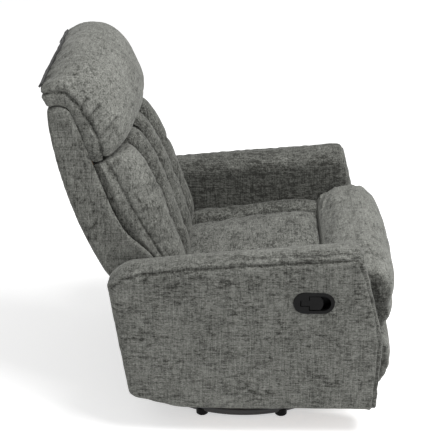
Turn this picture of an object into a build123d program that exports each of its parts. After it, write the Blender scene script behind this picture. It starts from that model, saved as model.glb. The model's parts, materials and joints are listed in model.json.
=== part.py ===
from build123d import *
import os
from math import atan2, cos, degrees, hypot, radians, sin

# Upholstered swivel glider recliner, in millimetres. The chair faces -Y and the sitter's right hand is at -X.
# It is drawn about the swivel axis, from the floor up, and stored about the middle of its outline.
outline_middle_y = 53.0  # behind the swivel axis

# Fits
running_gap = 0.05  # radial, round a turning pin
side_gap = 0.3  # beside a turning link, and round a soft piece
slide_gap = 0.2  # round the pin that slides in its slot
glue_gap = 0.2  # between butted timber rails

# Stuffed pieces: shares of the half length at which their sections stand
puff_shares = (-1.0, -0.93, -0.78, -0.45, 0.0, 0.45, 0.78, 0.93, 1.0)
puff_crown = 0.02  # loss of fullness from the middle towards the ends, before the ends draw in

# Base ring and floor glides
ring_radius = 298.0
ring_tube = 25.0
glide_height = 8.0
glide_diameter = 32.0
glide_spread = 20.5  # degrees to each side of a spoke
glide_edge = 2.5
spoke_count = 4
spoke_width = 40.0
spoke_height = 10.0

# Swivel bearing
race_radius = 95.0
race_plate = 4.0
race_height = 5.0
race_width = 20.0
race_split = 2.0  # between the two races
ball_circle = 70.0
ball_diameter = 9.0
ball_count = 20
king_bolt_diameter = 12.0
king_bolt_flats = 22.0
king_bolt_head = 6.0

# Glider stand and swing links
crossbar_size = 25.0
crossbar_wall = 2.0
crossbar_y = 55.0
stand_inner_x = 178.0
stand_plate = 4.0
stand_margin = 10.0
pivot_y = 80.0
upper_pivot_z = 195.0
link_length = 110.0
link_width = 28.0
link_thickness = 5.0
pin_diameter = 12.0
pin_collar = 19.0
pin_head = 3.0
stand_collar = 6.0  # length of the collar between stand and link

# Carrier rails and cross tubes
rail_web = 4.0
rail_height = 34.0
rail_flange = 30.0
rail_sink = 2.0  # its middle below the pins
rail_front_y = -178.0
rail_rear_y = 193.0
rail_collar = 6.0
tube_size = 25.0
tube_wall = 2.0
front_tube_y = -150.0
rear_tube_y = 165.0

# Space between the arms, which the soft pieces fill, and the arms
cabin_half_width = 275.0
arm_thickness = 105.0
arm_wall = 18.0
arm_inner_wall = 15.0
arm_bottom_z = 72.0
arm_front_y = -352.0
arm_front_z = 270.0
arm_peak_y = -290.0
arm_peak_z = 529.0
arm_rear_top_y = 285.0
arm_rear_top_z = 474.0
arm_shoulder_y = 336.0
arm_shoulder_z = 434.0
arm_heel_y = 290.0
arm_heel_z = 105.0
arm_toe_y = -344.0
arm_bottom_rear_y = 165.0
arm_edge_round = 16.0
arm_inner_round = 20.0
post_width = 40.0
post_depth = 50.0
frame_rail_height = 38.0
frame_clearance = 12.0  # frame to the padding above and around it
frame_rise = 1.0  # above the cover's bottom edge

# Mechanism plates
plate_thickness = 4.0
plate_margin = 24.0  # metal round a pivot
plate_window_length = 90.0
plate_window_height = 66.0
plate_window_y = 20.0
plate_window_z = 196.0

# Seat frame, springs and cushions
seat_inset = 11.0  # from the arm
seat_frame_inset = 30.0
seat_rail_width = 30.0
seat_rail_height = 35.0
seat_frame_z = 240.0  # underside
seat_frame_front_y = -205.0
seat_frame_rear_y = 160.0
spring_wire = 4.0
spring_count = 5
spring_spacing = 84.0
spring_swing = 22.0
spring_pitch = 26.0
spring_tail = 14.0
clip_size = 14.0
clip_height = 7.0
felt_thickness = 5.0
seat_edge_z = 366.5  # height of the seat's side edge over the swivel axis
seat_slope = 0.144
seat_border = 59.0  # width of the strip beside the sewn seam
seat_border_fall = 18.0  # of the seam below the side edge
seat_border_puff = 5.0
seat_crown = 22.0
seat_rear_y = 185.0
seat_end_draw = 12.0  # its ends are narrower
seat_end_drop = 10.0  # and lower
seat_end_crown = 0.4  # share of the crown left there
seat_foot_tuck = 16.0
seat_brow_tuck = 3.0
seat_bracket_width = 40.0
seat_bracket_metal = 4.0
roll_inset = 19.0  # clear of the lift links
roll_reach = 385.0  # furthest forward of the front roll
roll_top_z = 427.0
roll_bottom_z = 246.0
roll_end_draw = 0.09
roll_brow_back = 46.0
roll_brow_drop = 14.0
roll_chin_back = 36.0
roll_chin_rise = 8.0
roll_rear_drop = 40.0
roll_rear_rise = 16.0
roll_crest_back = 18.0
roll_belly_drop = 12.0
rear_panel_thickness = 14.0
rear_panel_top_z = 292.0
rear_panel_bottom_z = 92.0
rear_panel_top_y = 291.0
rear_panel_bottom_y = 281.0

# Footrest lift
tong_length = 180.0
tong_width = 24.0
tong_thickness = 4.0
tong_gap = 0.5
tong_pivot_y = -245.0
tong_pivot_z = 135.0
tong_lift = 28.0  # degrees above level, the way the footrest travels
tong_fold = 80.0  # degrees between a link and that way, folded
tong_open = 10.0  # the same, opened out
rivet_diameter = 8.0
rivet_head = 14.0
rivet_head_height = 3.0
pivot_pin_diameter = 12.0
pivot_pin_reach = 14.0
torque_tube_diameter = 20.0
crank_length = 50.0
crank_metal = 4.0
crank_width = 16.0
crank_inset = 22.0  # from the inner link
crank_angle = 53.0

# Footrest
board_thickness = 12.0
board_rear_y = -320.0
board_bottom_z = 80.0
board_top_z = 224.0
board_inset = 23.0
pad_swell = 46.0
pad_overhang = 8.0
pad_side_overhang = 3.0
pad_end_draw = 0.16
pad_brow = 0.55  # share of the swell
pad_brow_drop = 3.0
pad_lip = 0.25
flange_metal = 4.0
flange_width = 44.0
flange_height = 84.0
screw_diameter = 5.0
screw_head = 10.0
screw_head_height = 2.5
screw_inset = 30.0

# Back, drawn in its own leaning frame: x across, w up along it and t forward from the rear face
back_lean = 19.2
back_y = 345.0
back_z = 470.0
shell_inset = 13.0
shell_depth = 54.0
shell_wall = 15.0
shell_rear_wall = 12.0
shell_top_w = 392.0
shell_bow = 36.0  # padding behind the frame, at the middle
shell_pivot_w = -165.0
shell_corner = 20.0
shell_brow = 40.0  # bend of the top front edge
wing_top_w = 110.0  # the side walls widen forward below this
wing_mid_w = 20.0
wing_mid_reach = 12.0
wing_low_w = -70.0
wing_reach = 42.0
wing_foot_w = -135.0
back_post_width = 36.0
back_post_depth = 40.0
back_rail_height = 40.0
back_rail_depth = 30.0
web_width = 50.0
web_thickness = 2.0
web_count = 5
hinge_bracket_metal = 4.0
hinge_bracket_height = 120.0
hinge_pin_diameter = 14.0
hinge_collar = 24.0
hinge_head = 22.0
hinge_head_height = 5.0
lumbar_inset = 1.5  # inside the tray's walls
lumbar_bottom_w = -180.0
lumbar_top_w = 222.0
lumbar_swell = 116.0
lumbar_end_draw = 0.24
lumbar_end_narrow = 0.05  # share of that draw taken in width
lumbar_side_top = 27.0  # depth of the side edges at the top
lumbar_side_bottom = 74.0
channel_count = 4
channel_depth = 34.0
pillow_inset = 4.0  # from the tray's side
pillow_bottom_w = 226.0
pillow_hood = 46.0  # height of the rear edge over the tray
pillow_rise = 40.0  # of the crest over that edge
pillow_swell = 132.0
pillow_crown = 0.25
pillow_end_draw = 0.7
pillow_crest = 30.0  # forward of the tray
pillow_brow_height = 208.0  # over the lower edge
pillow_brow = 105.0
pillow_face_height = 111.0
pillow_chin_height = 38.0
pillow_chin = 123.0
pillow_jaw_height = 6.0
pillow_jaw = 92.0
pillow_lip = 40.0
zip_width = 8.0
zip_proud = 3.0
zip_inset = 23.0

# Release handle, on the right arm
handle_y = -175.0
handle_z = 389.0
bezel_length = 102.0
bezel_height = 58.0
bezel_proud = 4.0
bezel_round = 2.0
cup_margin = 4.0
cup_depth = 30.0
pocket_length = 54.0
pocket_height = 40.0
pocket_forward = 14.8  # pocket centre ahead of the bezel's
pocket_depth = 26.0
stem_length = 21.0
stem_height = 15.0
stem_room = 1.0
stem_end_room = 2.5
stem_well = 12.0
paddle_length = 33.0
paddle_height = 36.0
paddle_round = 8.0
lever_thickness = 6.0
lever_sink = 1.5  # below the bezel's face
lever_pivot_inset = 6.0
lever_pivot_depth = 2.0  # inside the arm's face
lever_pin_diameter = 4.0
lever_pin_reach = 5.0
lever_barrel = 9.0
cable_diameter = 6.0
cable_hole = 12.0
cable_hole_back = 45.0  # behind the front cross tube
cable_run_in = 28.0  # straight out of the cup
cable_bend = 18.0
wire_diameter = 2.0
wire_length = 44.0
cable_bracket_metal = 3.0
cable_bracket_width = 24.0
bolt_diameter = 8.0
bolt_head = 14.0
bolt_head_height = 4.0

# Levels of the base, from the floor up
ring_z = glide_height + ring_tube / 2
spoke_top = ring_z + spoke_height / 2
ball_z = spoke_top + race_plate + race_height + race_split / 2
turntable_bottom = ball_z + race_split / 2 + race_height
turntable_top = turntable_bottom + race_plate
lower_pivot_z = upper_pivot_z - link_length
rail_top = lower_pivot_z + rail_height / 2 - rail_sink
tube_top = rail_top + tube_size

# Planes of the swing links, from the middle outwards
stand_outer_x = stand_inner_x + stand_plate
link_inner_x = stand_outer_x + stand_collar + side_gap
link_outer_x = link_inner_x + link_thickness
rail_inner_x = link_outer_x + side_gap + rail_collar

# Widths inside the arms
arm_inner_x = cabin_half_width
arm_outer_x = arm_inner_x + arm_thickness
seat_half_width = cabin_half_width - seat_inset
seat_frame_half_width = cabin_half_width - seat_frame_inset
roll_half_width = cabin_half_width - roll_inset
board_half_width = cabin_half_width - board_inset
shell_half_width = cabin_half_width - shell_inset
tray_half_width = shell_half_width - shell_wall
lumbar_half_width = tray_half_width - lumbar_inset
pillow_half_width = shell_half_width - pillow_inset

# Planes of the lift links, from the arms inwards
plate_inner_x = arm_inner_x - plate_thickness
outer_tong_x = plate_inner_x - tong_gap - tong_thickness
inner_tong_x = outer_tong_x - tong_gap - tong_thickness
crank_x = inner_tong_x - crank_inset

seat_frame_top = seat_frame_z + seat_rail_height
spring_z = seat_frame_top + spring_wire / 2
felt_bottom = spring_z + spring_wire / 2 + side_gap
seat_bottom_z = felt_bottom + felt_thickness + side_gap
board_front_y = board_rear_y - board_thickness

os.makedirs("parts", exist_ok=True)


def finish(piece, name):
    """Move a finished piece to the stored origin, label it and write its STEP file."""
    stored = piece.part.moved(Location((0, -outline_middle_y, 0)))
    stored.label = name
    export_step(stored, f"parts/{name}.step")


def lean_point(w, t):
    """Global (y, z) of a point of the leaning back, w up along it and t forward."""
    lean = radians(back_lean)
    return (back_y + w * sin(lean) - t * cos(lean), back_z + w * cos(lean) + t * sin(lean))


def tong_point(along, across):
    """Global (y, z) of a point of the lift, along its travel and across it from the fixed pivot."""
    lift = radians(tong_lift)
    y = tong_pivot_y - along * cos(lift) + across * sin(lift)
    return (y, tong_pivot_z + along * sin(lift) + across * cos(lift))


def strap(start, end, width):
    """Round-ended strap between two pivots, in the sketch that is open."""
    run = (end[0] - start[0], end[1] - start[1])
    with Locations(((start[0] + end[0]) / 2, (start[1] + end[1]) / 2)):
        SlotCenterToCenter(hypot(*run), width, rotation=degrees(atan2(run[1], run[0])))


def puff(share, drop, crown=puff_crown):
    """Fullness of a stuffed piece at a share of its half length, drawn in by drop at the ends."""
    return 1.0 - crown * share**2 - (drop - crown) * share**8


def side_plane(x):
    """Plane of a side view, y to the right and z up, at a distance x from the middle."""
    return Plane.YZ.offset(x)


def back_plane(t):
    """Plane parallel to the leaning back, t forward of its rear face."""
    lean = radians(back_lean)
    rear = Plane(origin=(0, back_y, back_z), x_dir=(1, 0, 0), z_dir=(0, -cos(lean), sin(lean)))
    return rear.offset(t)


def back_section(w):
    """Plane square to the leaning back at a height w, x across and t forward."""
    lean = radians(back_lean)
    y, z = lean_point(w, 0)
    return Plane(origin=(0, y, z), x_dir=(1, 0, 0), z_dir=(0, -sin(lean), -cos(lean)))


# Lift pivots with the footrest folded
half_along = tong_length / 2 * cos(radians(tong_fold))
half_across = tong_length / 2 * sin(radians(tong_fold))
open_across = tong_length / 2 * sin(radians(tong_open))
pivot_a0 = tong_point(0, 0)
pivot_ab = tong_point(half_along, half_across)
pivot_ac = tong_point(2 * half_along, 2 * half_across)
pivot_b0 = tong_point(0, 2 * half_across)
pivot_bd = tong_point(2 * half_along, 0)
pivot_cd = tong_point(3 * half_along, half_across)
pivot_c2 = tong_point(4 * half_along, 0)
slot_end = tong_point(0, 2 * open_across)
crank_tip = (
    pivot_a0[0] + crank_length * cos(radians(crank_angle)),
    pivot_a0[1] + crank_length * sin(radians(crank_angle)),
)
shell_pivot_t = shell_depth / 2
hinge_yz = lean_point(shell_pivot_w, shell_pivot_t)

# Floor ring, a bent tube
with BuildPart() as base_ring:
    with Locations((0, 0, ring_z)):
        Torus(ring_radius, ring_tube / 2)
finish(base_ring, "base_ring")

# Spokes of the ring, crossing under the bearing
with BuildPart() as base_spokes:
    with BuildSketch(Plane.XY.offset(spoke_top - spoke_height)):
        with PolarLocations(0, spoke_count):
            Rectangle(2 * ring_radius, spoke_width)
        Circle(king_bolt_diameter / 2, mode=Mode.SUBTRACT)
    extrude(amount=spoke_height)
    add(base_ring.part, mode=Mode.SUBTRACT)
    with BuildSketch(Plane.XY):
        Circle(2 * ring_radius)
        Circle(ring_radius, mode=Mode.SUBTRACT)
    extrude(amount=2 * ring_z, mode=Mode.SUBTRACT)
finish(base_spokes, "base_spokes")

# Glides under the ring, in pairs beside the spokes
with BuildPart() as floor_glides:
    with BuildSketch():
        for spoke in range(spoke_count):
            for spread in (-glide_spread, glide_spread):
                with PolarLocations(ring_radius, 1, start_angle=spoke * 360 / spoke_count + spread):
                    Circle(glide_diameter / 2)
    extrude(amount=ring_z)
    chamfer(floor_glides.edges().group_by(Axis.Z)[0], glide_edge)
    add(base_ring.part, mode=Mode.SUBTRACT)
finish(floor_glides, "floor_glides")

# Lower race of the swivel bearing
with BuildPart() as swivel_lower_race:
    with BuildSketch(Plane.XY.offset(spoke_top)):
        Circle(race_radius)
    extrude(amount=race_plate)
    with BuildSketch(Plane.XY.offset(spoke_top + race_plate)):
        Circle(ball_circle + race_width / 2)
        Circle(ball_circle - race_width / 2, mode=Mode.SUBTRACT)
    extrude(amount=race_height)
    with Locations((0, 0, ball_z)):
        Torus(ball_circle, ball_diameter / 2 + side_gap, mode=Mode.SUBTRACT)
    with Locations((0, 0, spoke_top + race_plate)):
        Hole(king_bolt_diameter / 2)
finish(swivel_lower_race, "swivel_lower_race")

with BuildPart() as swivel_balls:
    with Locations((0, 0, ball_z)):
        with PolarLocations(ball_circle, ball_count):
            Sphere(ball_diameter / 2)
finish(swivel_balls, "swivel_balls")

# Upper race, the mirror of the lower one, turning on the king bolt
with BuildPart() as swivel_upper_race:
    with BuildSketch(Plane.XY.offset(turntable_bottom)):
        Circle(race_radius)
    extrude(amount=race_plate)
    with BuildSketch(Plane.XY.offset(turntable_bottom - race_height)):
        Circle(ball_circle + race_width / 2)
        Circle(ball_circle - race_width / 2, mode=Mode.SUBTRACT)
    extrude(amount=race_height)
    with Locations((0, 0, ball_z)):
        Torus(ball_circle, ball_diameter / 2 + side_gap, mode=Mode.SUBTRACT)
    with Locations((0, 0, turntable_top)):
        Hole(king_bolt_diameter / 2 + running_gap)
finish(swivel_upper_race, "swivel_upper_race")

with BuildPart() as king_bolt:
    with BuildSketch(Plane.XY.offset(spoke_top - spoke_height - king_bolt_head)):
        RegularPolygon(king_bolt_flats / 2, 6)
    extrude(amount=king_bolt_head)
    with BuildSketch(Plane.XY.offset(spoke_top - spoke_height)):
        Circle(king_bolt_diameter / 2)
    extrude(amount=turntable_top + side_gap - spoke_top + spoke_height)
    with BuildSketch(Plane.XY.offset(turntable_top + side_gap)):
        RegularPolygon(king_bolt_flats / 2, 6)
    extrude(amount=king_bolt_head)
finish(king_bolt, "king_bolt")

# Square bars across the turntable, between the two stands
with BuildPart() as glider_crossbars:
    crossbar_bore = crossbar_size - 2 * crossbar_wall
    with BuildSketch(Plane.YZ.offset(-stand_inner_x)):
        with Locations(
            (-crossbar_y, turntable_top + crossbar_size / 2),
            (crossbar_y, turntable_top + crossbar_size / 2),
        ):
            Rectangle(crossbar_size, crossbar_size)
            Rectangle(crossbar_bore, crossbar_bore, mode=Mode.SUBTRACT)
    extrude(amount=2 * stand_inner_x)
finish(glider_crossbars, "glider_crossbars")

# Stands with two horns each, from which the swing links hang
with BuildPart() as glider_stands:
    stand_base = crossbar_size + stand_margin
    with BuildSketch(side_plane(stand_inner_x)):
        with Locations((0, turntable_top + stand_base / 2)):
            Rectangle(2 * pivot_y + link_width, stand_base)
        for horn_y in (-pivot_y, pivot_y):
            strap((horn_y, turntable_top + stand_base / 2), (horn_y, upper_pivot_z), link_width)
        with Locations((-pivot_y, upper_pivot_z), (pivot_y, upper_pivot_z)):
            Circle(pin_diameter / 2, mode=Mode.SUBTRACT)
    extrude(amount=stand_plate)
    mirror(about=Plane.YZ)
finish(glider_stands, "glider_stands")

# Pins fixed in the stands, with a collar inside the link and a head outside it
with BuildPart() as glide_upper_pins:
    pin_spots = [(-pivot_y, upper_pivot_z), (pivot_y, upper_pivot_z)]
    with BuildSketch(side_plane(stand_inner_x)):
        with Locations(*pin_spots):
            Circle(pin_diameter / 2)
    extrude(amount=link_outer_x + side_gap - stand_inner_x)
    with BuildSketch(side_plane(stand_outer_x)):
        with Locations(*pin_spots):
            Circle(pin_collar / 2)
    extrude(amount=stand_collar)
    with BuildSketch(side_plane(link_outer_x + side_gap)):
        with Locations(*pin_spots):
            Circle(pin_collar / 2)
    extrude(amount=pin_head)
    mirror(about=Plane.YZ)
finish(glide_upper_pins, "glide_upper_pins")

for link_name, link_y in (("front_swing_links", -pivot_y), ("rear_swing_links", pivot_y)):
    with BuildPart() as swing_links:
        with BuildSketch(side_plane(link_inner_x)):
            strap((link_y, upper_pivot_z), (link_y, lower_pivot_z), link_width)
            with Locations((link_y, upper_pivot_z), (link_y, lower_pivot_z)):
                Circle(pin_diameter / 2 + running_gap, mode=Mode.SUBTRACT)
        extrude(amount=link_thickness)
        mirror(about=Plane.YZ)
    finish(swing_links, link_name)

# Angle rails that hang on the links and carry the chair
with BuildPart() as carrier_rails:
    with BuildSketch(side_plane(rail_inner_x)):
        with Locations(((rail_front_y + rail_rear_y) / 2, rail_top - rail_height / 2)):
            Rectangle(rail_rear_y - rail_front_y, rail_height)
        with Locations((-pivot_y, lower_pivot_z), (pivot_y, lower_pivot_z)):
            Circle(pin_diameter / 2, mode=Mode.SUBTRACT)
    extrude(amount=rail_web)
    with BuildSketch(side_plane(rail_inner_x + rail_web)):
        with Locations(((rail_front_y + rail_rear_y) / 2, rail_top - rail_web / 2)):
            Rectangle(rail_rear_y - rail_front_y, rail_web)
    extrude(amount=rail_flange - rail_web)
    mirror(about=Plane.YZ)
finish(carrier_rails, "carrier_rails")

with BuildPart() as glide_lower_pins:
    pin_spots = [(-pivot_y, lower_pivot_z), (pivot_y, lower_pivot_z)]
    with BuildSketch(side_plane(link_inner_x - side_gap - pin_head)):
        with Locations(*pin_spots):
            Circle(pin_collar / 2)
    extrude(amount=pin_head)
    with BuildSketch(side_plane(link_inner_x - side_gap)):
        with Locations(*pin_spots):
            Circle(pin_diameter / 2)
    extrude(amount=rail_inner_x + rail_web - link_inner_x + side_gap)
    with BuildSketch(side_plane(link_outer_x + side_gap)):
        with Locations(*pin_spots):
            Circle(pin_collar / 2)
    extrude(amount=rail_collar)
    mirror(about=Plane.YZ)
finish(glide_lower_pins, "glide_lower_pins")

with BuildPart() as cross_tubes:
    with BuildSketch(side_plane(-plate_inner_x)):
        with Locations(
            (front_tube_y, rail_top + tube_size / 2), (rear_tube_y, rail_top + tube_size / 2)
        ):
            Rectangle(tube_size, tube_size)
            Rectangle(tube_size - 2 * tube_wall, tube_size - 2 * tube_wall, mode=Mode.SUBTRACT)
    extrude(amount=2 * plate_inner_x)
finish(cross_tubes, "cross_tubes")

# Ends of the arm's timber frame
post_front_y = arm_toe_y + arm_wall + 3 * frame_clearance
post_rear_y = arm_bottom_rear_y - frame_clearance

# Side plates of the mechanism: the convex outline round all that they carry, with a window
bolt_spots = [
    (front_tube_y + tube_size + bolt_head, tube_top),
    (rear_tube_y - tube_size - bolt_head, tube_top),
    (post_rear_y - post_width / 2, seat_frame_z),
]
cable_spot = (front_tube_y + cable_hole_back, crank_tip[1])
with BuildPart() as mechanism_plate_left:
    with BuildSketch(side_plane(plate_inner_x)):
        with Locations(
            pivot_a0,
            pivot_b0,
            hinge_yz,
            (front_tube_y, rail_top + tube_size / 2),
            (rear_tube_y, rail_top + tube_size / 2),
        ):
            Circle(plate_margin)
        make_hull()
        with Locations((plate_window_y, plate_window_z)):
            RectangleRounded(
                plate_window_length, plate_window_height, plate_window_height / 4, mode=Mode.SUBTRACT
            )
        with Locations(pivot_a0):
            Circle(pivot_pin_diameter / 2, mode=Mode.SUBTRACT)
        with Locations(hinge_yz):
            Circle(hinge_pin_diameter / 2, mode=Mode.SUBTRACT)
        with Locations(*bolt_spots):
            Circle(bolt_diameter / 2, mode=Mode.SUBTRACT)
    extrude(amount=plate_thickness)
    with BuildSketch(side_plane(plate_inner_x)):
        strap(pivot_b0, slot_end, rivet_diameter + 2 * slide_gap)
    extrude(amount=plate_thickness, mode=Mode.SUBTRACT)
finish(mechanism_plate_left, "mechanism_plate_left")

with BuildPart() as mechanism_plate_right:
    mirror(mechanism_plate_left.part, about=Plane.YZ)
    with BuildSketch(side_plane(-arm_inner_x)):
        with Locations(cable_spot):
            Circle(cable_hole / 2)
    extrude(amount=plate_thickness, mode=Mode.SUBTRACT)
finish(mechanism_plate_right, "mechanism_plate_right")

# Outline of an arm in side view, with the bend of each corner, and of the hollow inside its padding
arm_corners = [
    (arm_toe_y, arm_bottom_z, 24.0),
    (arm_front_y, arm_front_z, 160.0),
    (arm_peak_y, arm_peak_z, 34.0),
    (arm_rear_top_y, arm_rear_top_z, 40.0),
    (arm_shoulder_y, arm_shoulder_z, 30.0),
    (arm_heel_y, arm_heel_z, 26.0),
    (arm_bottom_rear_y, arm_bottom_z, 60.0),
]
with BuildSketch(side_plane(0)) as arm_outline:
    with BuildLine():
        FilletPolyline(
            *[(y, z) for y, z, bend in arm_corners], radius=[bend for y, z, bend in arm_corners], close=True
        )
    make_face()
with BuildSketch(side_plane(0)) as arm_hollow:
    add(arm_outline.sketch_local)
    offset(amount=-arm_wall)

frame_bottom = arm_bottom_z + frame_rise
frame_top = arm_rear_top_z - arm_wall - 2 * frame_clearance
with BuildPart() as arm_cover_left:
    extrude(arm_outline.sketch.moved(Location((arm_inner_x, 0, 0))), amount=arm_thickness)
    fillet(arm_cover_left.faces().sort_by(Axis.X)[-1].edges(), arm_edge_round)
    fillet(arm_cover_left.faces().sort_by(Axis.X)[0].edges(), arm_inner_round)
    extrude(
        arm_hollow.sketch.moved(Location((arm_inner_x + arm_inner_wall, 0, 0))),
        amount=arm_thickness - arm_inner_wall - arm_wall,
        mode=Mode.SUBTRACT,
    )
    hollow_mid_x = arm_inner_x + (arm_thickness + arm_inner_wall - arm_wall) / 2
    with BuildSketch(Plane.XY.offset(arm_bottom_z)):
        with Locations((hollow_mid_x, (post_front_y + post_rear_y) / 2)):
            Rectangle(arm_thickness - arm_inner_wall - arm_wall, post_rear_y - post_front_y)
    extrude(amount=2 * arm_wall, mode=Mode.SUBTRACT)
    with BuildSketch(side_plane(arm_inner_x)):
        with Locations(*bolt_spots):
            Circle(bolt_diameter / 2)
    extrude(amount=arm_inner_wall, mode=Mode.SUBTRACT)
finish(arm_cover_left, "arm_cover_left")

# The right cover also has the mouth for the handle and the hole for the release cable
with BuildPart() as arm_cover_right:
    mirror(arm_cover_left.part, about=Plane.YZ)
    with BuildSketch(side_plane(-arm_outer_x)):
        with Locations((handle_y, handle_z)):
            SlotOverall(bezel_length - 2 * cup_margin, bezel_height - 2 * cup_margin)
    extrude(amount=arm_wall, mode=Mode.SUBTRACT)
    with BuildSketch(side_plane(-arm_inner_x - arm_inner_wall)):
        with Locations(cable_spot):
            Circle(cable_hole / 2)
    extrude(amount=arm_inner_wall, mode=Mode.SUBTRACT)
finish(arm_cover_right, "arm_cover_right")

# Timber frame of an arm: two posts and two rails, against the inner wall of the cover
with BuildPart() as arm_frame_left:
    frame_x = arm_inner_x + arm_inner_wall
    for post_y in (post_front_y, post_rear_y - post_width):
        with BuildSketch(Plane.XY.offset(frame_bottom)):
            with Locations((frame_x + post_depth / 2, post_y + post_width / 2)):
                Rectangle(post_depth, post_width)
        extrude(amount=frame_top - frame_bottom)
    for rail_z in (frame_bottom, frame_top - frame_rail_height):
        with BuildSketch(side_plane(frame_x)):
            with Locations(((post_front_y + post_rear_y) / 2, rail_z + frame_rail_height / 2)):
                Rectangle(post_rear_y - post_front_y - 2 * post_width - 2 * glue_gap, frame_rail_height)
        extrude(amount=post_depth)
finish(arm_frame_left, "arm_frame_left")

with BuildPart() as arm_frame_right:
    mirror(arm_frame_left.part, about=Plane.YZ)
finish(arm_frame_right, "arm_frame_right")

# Bolts from the plates through the arms' inner walls
with BuildPart() as arm_bolts:
    with BuildSketch(side_plane(plate_inner_x - bolt_head_height)):
        with Locations(*bolt_spots):
            RegularPolygon(bolt_head / 2, 6)
    extrude(amount=bolt_head_height)
    with BuildSketch(side_plane(plate_inner_x)):
        with Locations(*bolt_spots):
            Circle(bolt_diameter / 2)
    extrude(amount=plate_thickness + arm_inner_wall)
    mirror(about=Plane.YZ)
finish(arm_bolts, "arm_bolts")

# Seat frame of four timber rails, butted at the corners
seat_frame_mid_y = (seat_frame_front_y + seat_frame_rear_y) / 2
with BuildPart() as seat_frame:
    with BuildSketch(Plane.XY.offset(seat_frame_z)):
        with Locations((seat_frame_half_width - seat_rail_width / 2, seat_frame_mid_y)):
            Rectangle(seat_rail_width, seat_frame_rear_y - seat_frame_front_y)
    extrude(amount=seat_rail_height)
    mirror(about=Plane.YZ)
    for rail_y in (seat_frame_front_y + seat_rail_width / 2, seat_frame_rear_y - seat_rail_width / 2):
        with BuildSketch(Plane.XY.offset(seat_frame_z)):
            with Locations((0, rail_y)):
                Rectangle(2 * (seat_frame_half_width - seat_rail_width - glue_gap), seat_rail_width)
        extrude(amount=seat_rail_height)
finish(seat_frame, "seat_frame")

# Brackets that carry the seat frame on the plates
with BuildPart() as seat_brackets:
    for bracket_y in (front_tube_y + 2 * seat_bracket_width, rear_tube_y - 2 * seat_bracket_width):
        bracket_span = plate_inner_x - seat_frame_half_width + seat_rail_width
        with BuildSketch(Plane.XY.offset(seat_frame_z - seat_bracket_metal)):
            with Locations((plate_inner_x - bracket_span / 2, bracket_y)):
                Rectangle(bracket_span, seat_bracket_width)
        extrude(amount=seat_bracket_metal)
        with BuildSketch(Plane.XY.offset(seat_frame_z)):
            with Locations((plate_inner_x - seat_bracket_metal / 2, bracket_y)):
                Rectangle(seat_bracket_metal, seat_bracket_width)
        extrude(amount=seat_rail_height)
    mirror(about=Plane.YZ)
finish(seat_brackets, "seat_brackets")

# Sinuous springs, one zigzag wire each, from the front rail to the rear rail
spring_front_y = seat_frame_front_y + seat_rail_width / 2
spring_rear_y = seat_frame_rear_y - seat_rail_width / 2
spring_turns = int((spring_rear_y - spring_front_y - 2 * spring_tail) / spring_pitch)
spring_xs = [(n - (spring_count - 1) / 2) * spring_spacing for n in range(spring_count)]
with BuildPart() as seat_springs:
    turn_pitch = (spring_rear_y - spring_front_y - 2 * spring_tail) / spring_turns
    spring_points = [(0, spring_front_y), (0, spring_front_y + spring_tail)]
    for turn in range(spring_turns):
        swing = spring_swing if turn % 2 == 0 else -spring_swing
        turn_y = spring_front_y + spring_tail + turn * turn_pitch
        spring_points += [(swing, turn_y), (swing, turn_y + turn_pitch)]
    spring_points += [(0, spring_rear_y - spring_tail), (0, spring_rear_y)]
    with BuildLine(Plane.XY.offset(spring_z)) as spring_path:
        FilletPolyline(*spring_points, radius=0.4 * spring_tail)
    with BuildSketch(Plane.XZ.offset(-spring_front_y)) as spring_section:
        with Locations((0, spring_z)):
            RegularPolygon(spring_wire / 2, 8)
    one_spring = sweep(spring_section.sketch, path=spring_path.line, mode=Mode.PRIVATE)
    with Locations(*[(x, 0, 0) for x in spring_xs]):
        add(one_spring)
finish(seat_springs, "seat_springs")

with BuildPart() as spring_clips:
    clip_spots = [(x, y) for x in spring_xs for y in (spring_front_y, spring_rear_y)]
    with BuildSketch(Plane.XY.offset(seat_frame_top)):
        with Locations(*clip_spots):
            Rectangle(clip_size, clip_size)
    extrude(amount=clip_height)
    with BuildSketch(Plane.XZ.offset(-spring_rear_y - clip_size)):
        with Locations(*[(x, spring_z) for x in spring_xs]):
            Circle(spring_wire / 2)
        with Locations(*[(x, spring_z - spring_wire / 2) for x in spring_xs]):
            Rectangle(spring_wire, spring_wire)
    extrude(amount=spring_rear_y - spring_front_y + 2 * clip_size, mode=Mode.SUBTRACT)
finish(spring_clips, "spring_clips")

# Felt sheet over the springs, between the clips
with BuildPart() as seat_felt:
    felt_front_y = spring_front_y + clip_size
    felt_rear_y = spring_rear_y - clip_size
    with BuildSketch(Plane.XY.offset(felt_bottom)):
        with Locations((0, (felt_front_y + felt_rear_y) / 2)):
            Rectangle(2 * seat_frame_half_width, felt_rear_y - felt_front_y)
    extrude(amount=felt_thickness)
finish(seat_felt, "seat_felt")


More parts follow.
